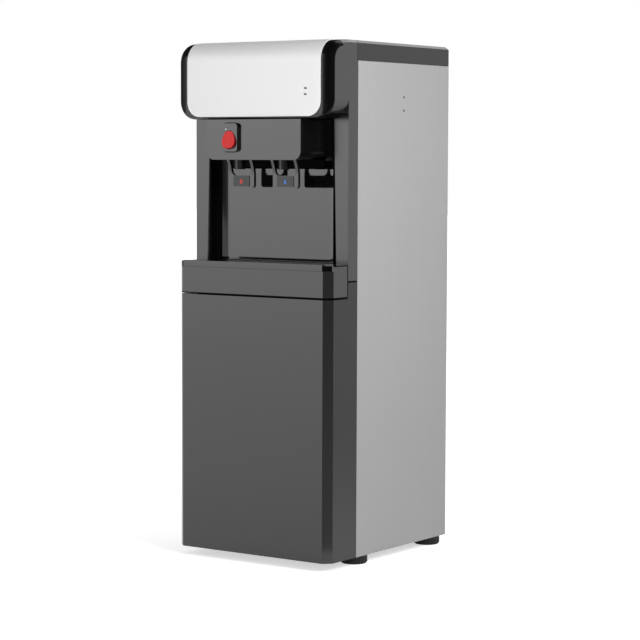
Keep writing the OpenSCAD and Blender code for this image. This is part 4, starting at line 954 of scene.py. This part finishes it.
@dataclass
class Tap(Assembly):
    """One tap: its nozzle, its lever and the label on the lever.

    Attributes:
        heat: Which water it gives.
        press: How far the stem presses its spring together, in metres.
        lever_edge: Rounding of the lever's edges, in metres.
        label_edge: The same for the label plate.
        mark: Depth of the label plate's raised mark, in metres.
    """

    heat: Heat = Heat.HOT
    press: float = 4.0 * MM
    lever_edge: float = 0.9 * MM
    label_edge: float = 0.15 * MM
    mark: float = 0.35 * MM

    def build(self) -> None:
        """Makes the tap's pieces."""
        word = self.heat.value
        self.carry(f"{word}_tap_body", BLACK_GLOSS)
        self.carry(f"{word}_lever", CHARCOAL_GLOSS, self.lever_edge, 3)
        label = self.carry(f"{word}_label_plate", LABEL_GREY, self.label_edge)
        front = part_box(f"{word}_label_plate")[0][1]
        Bench.paint(label, LABEL_GREY, (RED_MARK if self.heat is Heat.HOT else BLUE_MARK,
                                        lambda face: face.center.y < front + self.mark))
        self.coat(WHITE_PLASTIC, f"{word}_stem")
        self.spring(f"{word}_spring", f"{word}_stem_slide", self.press)


@dataclass
class Back(Assembly):
    """What shows at the back: the condenser, the compressor and the service fittings."""

    def build(self) -> None:
        """Makes the pieces at the back."""
        for node, finish, edge in (
                ("compressor", BLACK_ENAMEL, 0.5), ("condenser_coil", BLACK_ENAMEL, 0.0),
                ("condenser_wires", BLACK_ENAMEL, 0.0), ("refrigerant_lines", COPPER, 0.0),
                ("grommets", RUBBER, 0.4), ("inlet_fitting", WHITE_PLASTIC, 0.4),
                ("drain_spout", WHITE_PLASTIC, 0.3), ("drain_cap", BLACK_SATIN, 0.4),
                ("power_inlet", BLACK_SATIN, 0.3), ("switch_frame", BLACK_SATIN, 0.4),
                ("hot_rocker", RED_GLOSS, 0.3), ("cold_rocker", BLUE_GLOSS, 0.3)):
            self.carry(node, finish, edge * MM)


@dataclass
class Innards(Assembly):
    """The water and cooling parts inside the cabinet."""

    def build(self) -> None:
        """Gives the inner parts their finishes."""
        self.coat(SHEET_GREY, "front_bulkhead", "inner_shelves")
        self.coat(STAINLESS, "cold_tank", "hot_tank", "lever_pins")
        self.coat(COPPER, "evaporator_coil")
        self.coat(FOAM, "insulation")
        self.coat(WHITE_PLASTIC, "filter_head", "solenoid_valve", "sediment_filter", "carbon_filter",
                  "membrane_filter")
        self.coat(MILKY_TUBE, "water_tubes")
        self.coat(BOARD_GREEN, "control_board")


@dataclass(frozen=True)
class Viewpoint:
    """Where the photograph was taken from.

    Attributes:
        place: The camera's place, in metres.
        turn: How far it stands round to the cooler's right, in degrees.
        tilt: How far it looks down, in degrees.
        roll: How far it leans, in degrees.
        lens: Its focal length on a 36 mm frame.
    """

    place: Point = (2.3450, -3.3205, 0.7347)
    turn: float = 35.07
    tilt: float = 4.30
    roll: float = 0.194
    lens: float = 123.04

    def build(self) -> None:
        """Makes the camera and hands it to the scene."""
        data = bpy.data.cameras.new("studio_camera")
        data.lens = self.lens
        data.sensor_width = 36.0
        data.clip_end = 60.0
        camera = bpy.data.objects.new("studio_camera", data)
        bpy.context.scene.collection.objects.link(camera)
        aim = (Matrix.Rotation(math.radians(self.turn), 3, "Z")
               @ Matrix.Rotation(math.radians(90.0 - self.tilt), 3, "X")
               @ Matrix.Rotation(math.radians(self.roll), 3, "Z"))
        camera.location = self.place
        camera.rotation_euler = aim.to_euler()
        bpy.context.scene.camera = camera


@dataclass(frozen=True)
class Stand:
    """Something that stands in the studio and faces the cooler.

    Attributes:
        name: Its name.
        around: How far round to the cooler's right it stands, in degrees.
        distance: How far away it stands, in metres.
        size: Its width and height, in metres.
    """

    name: str
    around: float
    distance: float
    size: tuple[float, float]

    def place(self, height: float) -> Vector:
        """Works out where its middle is, at a height in metres."""
        angle = math.radians(self.around)
        return Vector((math.sin(angle) * self.distance, -math.cos(angle) * self.distance, height))


@dataclass(frozen=True)
class Softbox(Stand):
    """One soft lamp.

    Attributes:
        height: How high its middle is, in metres.
        power: Its power, in watts.
        aim_z: The height it points at, in metres.
        mirrored: Whether it shows in gloss.
    """

    height: float = 1.0
    power: float = 20.0
    aim_z: float = 0.5
    mirrored: bool = True

    def build(self) -> None:
        """Makes the lamp."""
        data = bpy.data.lights.new(self.name, "AREA")
        data.shape = "RECTANGLE"
        data.size, data.size_y = self.size
        data.energy = self.power
        lamp = bpy.data.objects.new(self.name, data)
        bpy.context.scene.collection.objects.link(lamp)
        lamp.location = self.place(self.height)
        aim = Vector((0.0, 0.0, self.aim_z)) - lamp.location
        lamp.rotation_euler = aim.to_track_quat("-Z", "Y").to_euler()
        lamp.visible_camera = False
        lamp.visible_glossy = self.mirrored


@dataclass(frozen=True)
class Card(Stand):
    """A tall card that glows, more or less brightly towards the floor.

    Attributes:
        low: Brightness at the floor, where 1 is white.
        high: Brightness from the height of the fade upwards.
        fade: The height over which it changes, in metres.
        mirrored_only: Whether it shows in gloss alone.
    """

    low: float = 0.0
    high: float = 0.0
    fade: float = 1.0
    mirrored_only: bool = False

    def build(self) -> None:
        """Makes the card and its glow."""
        Bench.clear()
        bpy.ops.mesh.primitive_plane_add(
            size=1.0, rotation=(math.radians(90.0), 0.0, math.radians(self.around)))
        card = bpy.context.active_object
        card.name = self.name
        card.scale = (*self.size, 1.0)
        card.location = self.place(self.size[1] / 2.0)
        bpy.ops.object.transform_apply(location=True, rotation=True, scale=True)
        made = glowing(self.name, 0.0)
        tree = made.node_tree
        place = add(tree, "TexCoord")
        parts = add(tree, "SeparateXYZ")
        rise = new_range(tree, 0.0, self.fade, self.low, self.high)
        wire(tree, (place, "Object", parts, "Vector"), (parts, "Z", rise, "Value"),
             (rise, "Result", tree.nodes["Principled BSDF"], "Emission Strength"))
        card.data.materials.append(made)
        card.visible_camera = False
        card.visible_diffuse = not self.mirrored_only
        card.visible_shadow = not self.mirrored_only


@dataclass
class Studio:
    """The plain pale floor, the white surroundings and the lamps.

    Attributes:
        floor_size: Length of the floor's sides, in metres.
        floor_grey: The floor's own grey.
        whitens: Distances between which the floor turns white to the camera, in metres.
        whiteness: Its glow to the camera at those distances.
        fill: Brightness of the surroundings as a light.
        ceiling: Share of it that is left overhead.
        dims: Rise of a ray, from 0 to 1, between which the surroundings grow darker.
        floor_bands: The floor's glow in gloss, by how far a place lies towards the wall, in metres.
        bands: The surroundings' brightness in gloss, by degrees round to the cooler's right.
        wall: The diffuser that the fronts mirror.
        flag: The grey card that the upright chamfers mirror.
        lamps: The lamps.
    """

    floor_size: float = 40.0
    floor_grey: float = 0.88
    whitens: tuple[float, float] = (0.3, 1.6)
    whiteness: tuple[float, float] = (0.58, 0.95)
    fill: float = 0.62
    ceiling: float = 0.35
    dims: tuple[float, float] = (0.1, 0.85)
    floor_bands: Sequence[tuple[float, float]] = (
        (-6.0, 0.36), (-3.5, 0.26), (-1.5, 0.06), (-0.5, 0.08), (0.1, 0.14), (0.25, 0.36), (1.4, 0.58),
        (2.2, 0.53), (3.7, 0.4), (5.0, 0.34))
    bands: Sequence[tuple[float, float]] = (
        (-180.0, 0.66), (-150.0, 0.35), (-128.0, 0.12), (-105.0, 0.14), (-80.0, 0.45), (-60.0, 0.5),
        (-15.0, 0.38), (8.0, 0.14), (45.0, 0.06), (105.0, 0.05), (133.0, 0.7), (180.0, 0.72))
    wall: Card = Card("graded_wall", -38.0, 3.4, (2.6, 2.8), 1.25, 2.0, 0.9)
    flag: Card = Card("grey_flag", 55.0, 0.45, (0.42, 1.5), 0.40, 0.20, 0.5, mirrored_only=True)
    lamps: Sequence[Softbox] = (
        Softbox("high_rear_softbox", 176.0, 2.4, (2.0, 2.6), 3.2, 25.0),
        Softbox("right_fill", 72.0, 1.2, (0.8, 0.8), 0.95, 14.5, aim_z=0.75, mirrored=False),
    )

    def build(self) -> None:
        """Sets up the floor, the surroundings and the lamps."""
        self.floor()
        self.surroundings()
        self.wall.build()
        self.flag.build()
        for lamp in self.lamps:
            lamp.build()
        bpy.context.scene.view_settings.view_transform = "Standard"

    def floor(self) -> None:
        """Makes the floor, which is white to the camera and keeps the shadow."""
        Bench.clear()
        bpy.ops.mesh.primitive_plane_add(size=self.floor_size)
        plane = bpy.context.active_object
        plane.name = "studio_floor"
        made = glowing("studio_floor", self.floor_grey)
        tree = made.node_tree
        rays = add(tree, "LightPath")
        place = add(tree, "TexCoord")
        reach = new_maths(tree, "LENGTH", "VectorMath")
        rise = new_range(tree, *self.whitens, *self.whiteness)
        rise.interpolation_type = "SMOOTHSTEP"
        ahead = new_maths(tree, "DOT_PRODUCT", "VectorMath")
        angle = math.radians(self.wall.around)
        ahead.inputs[1].default_value = (math.sin(angle), -math.cos(angle), 0.0)
        near, far = self.floor_bands[0][0], self.floor_bands[-1][0]
        span = new_range(tree, near, far)
        sheen = self.ramp(tree, [((place - near) / (far - near), tone) for place, tone in self.floor_bands])
        white = new_maths(tree, "MULTIPLY")
        mirrored = new_maths(tree, "MULTIPLY")
        glow = new_maths(tree, "ADD")
        wire(tree, (place, "Object", reach, 0), (reach, "Value", rise, "Value"), (rise, "Result", white, 0),
             (rays, "Is Camera Ray", white, 1), (place, "Object", ahead, 0),
             (ahead, "Value", span, "Value"), (span, "Result", sheen, "Fac"), (sheen, "Color", mirrored, 0))
        wire(tree, (self.mirrors(tree, rays), "Value", mirrored, 1), (white, "Value", glow, 0),
             (mirrored, "Value", glow, 1),
             (glow, "Value", tree.nodes["Principled BSDF"], "Emission Strength"))
        plane.data.materials.append(made)

    @staticmethod
    def ramp(tree: Tree, stops: Sequence[tuple[float, float]]) -> Node:
        """Adds a ramp of greys.

        Args:
            tree: The nodes.
            stops: The place of each stop, from 0 to 1, and its tone.

        Returns:
            The ramp.
        """
        ramp = add(tree, "ValToRGB")
        marks = ramp.color_ramp.elements
        while len(marks) < len(stops):
            marks.new(0.5)
        for mark, (place, tone) in zip(marks, stops):
            mark.position = place
            mark.color = (tone, tone, tone, 1.0)
        return ramp

    @staticmethod
    def mirrors(tree: Tree, rays: Node) -> Node:
        """Marks the rays that show in gloss and glass.

        Args:
            tree: The nodes.
            rays: Their light path node.

        Returns:
            A node whose value is 1 for those rays.
        """
        either = new_maths(tree, "MAXIMUM")
        wire(tree, (rays, "Is Glossy Ray", either, 0), (rays, "Is Transmission Ray", either, 1))
        return either

    def surroundings(self) -> None:
        """Makes the surroundings: white to the camera, and in gloss a room that is darker to the right."""
        world = bpy.data.worlds.new("studio_surroundings")
        bpy.context.scene.world = world
        world.use_nodes = True
        tree = world.node_tree
        background = tree.nodes["Background"]
        background.inputs["Color"].default_value = (1.0, 1.0, 1.0, 1.0)
        direction = add(tree, "TexCoord")
        parts = add(tree, "SeparateXYZ")
        front = new_maths(tree, "MULTIPLY")
        front.inputs[1].default_value = -1.0
        around = new_maths(tree, "ARCTAN2")
        turn = new_range(tree, -math.pi, math.pi)
        room = self.ramp(tree, [((angle + 180.0) / 360.0, tone) for angle, tone in self.bands])
        wire(tree, (direction, "Generated", parts, "Vector"), (parts, "Y", front, 0),
             (parts, "X", around, 0), (front, "Value", around, 1), (around, "Value", turn, "Value"),
             (turn, "Result", room, "Fac"))
        rays = add(tree, "LightPath")
        glossy = add(tree, "Mix", A=self.fill)
        wire(tree, (self.mirrors(tree, rays), "Value", glossy, "Factor"))
        wire(tree, (room, "Color", glossy, "B"))
        fade = new_range(tree, *self.dims, 1.0, self.ceiling)
        dimmed = new_maths(tree, "MULTIPLY")
        wire(tree, (parts, "Z", fade, "Value"), (glossy, "Result", dimmed, 0), (fade, "Result", dimmed, 1))
        final = add(tree, "Mix", B=1.0)
        wire(tree, (rays, "Is Camera Ray", final, "Factor"), (dimmed, "Value", final, "A"),
             (final, "Result", background, "Strength"))


def main() -> None:
    """Builds the studio and every sub-assembly."""
    logging.basicConfig(level=logging.INFO, format="%(name)s: %(message)s")
    Viewpoint().build()
    Studio().build()
    parts: list[Assembly] = [Cabinet(), LowerFront(), Head(), Alcove(), Tap(heat=Heat.HOT),
                             Tap(heat=Heat.COLD), Back(), Innards()]
    for part in parts:
        part.build()
        for piece in part.pieces:
            log.info("%s: %s, %d faces", type(part).__name__, piece.name, len(piece.data.polygons))


if __name__ == "__main__":
    main()
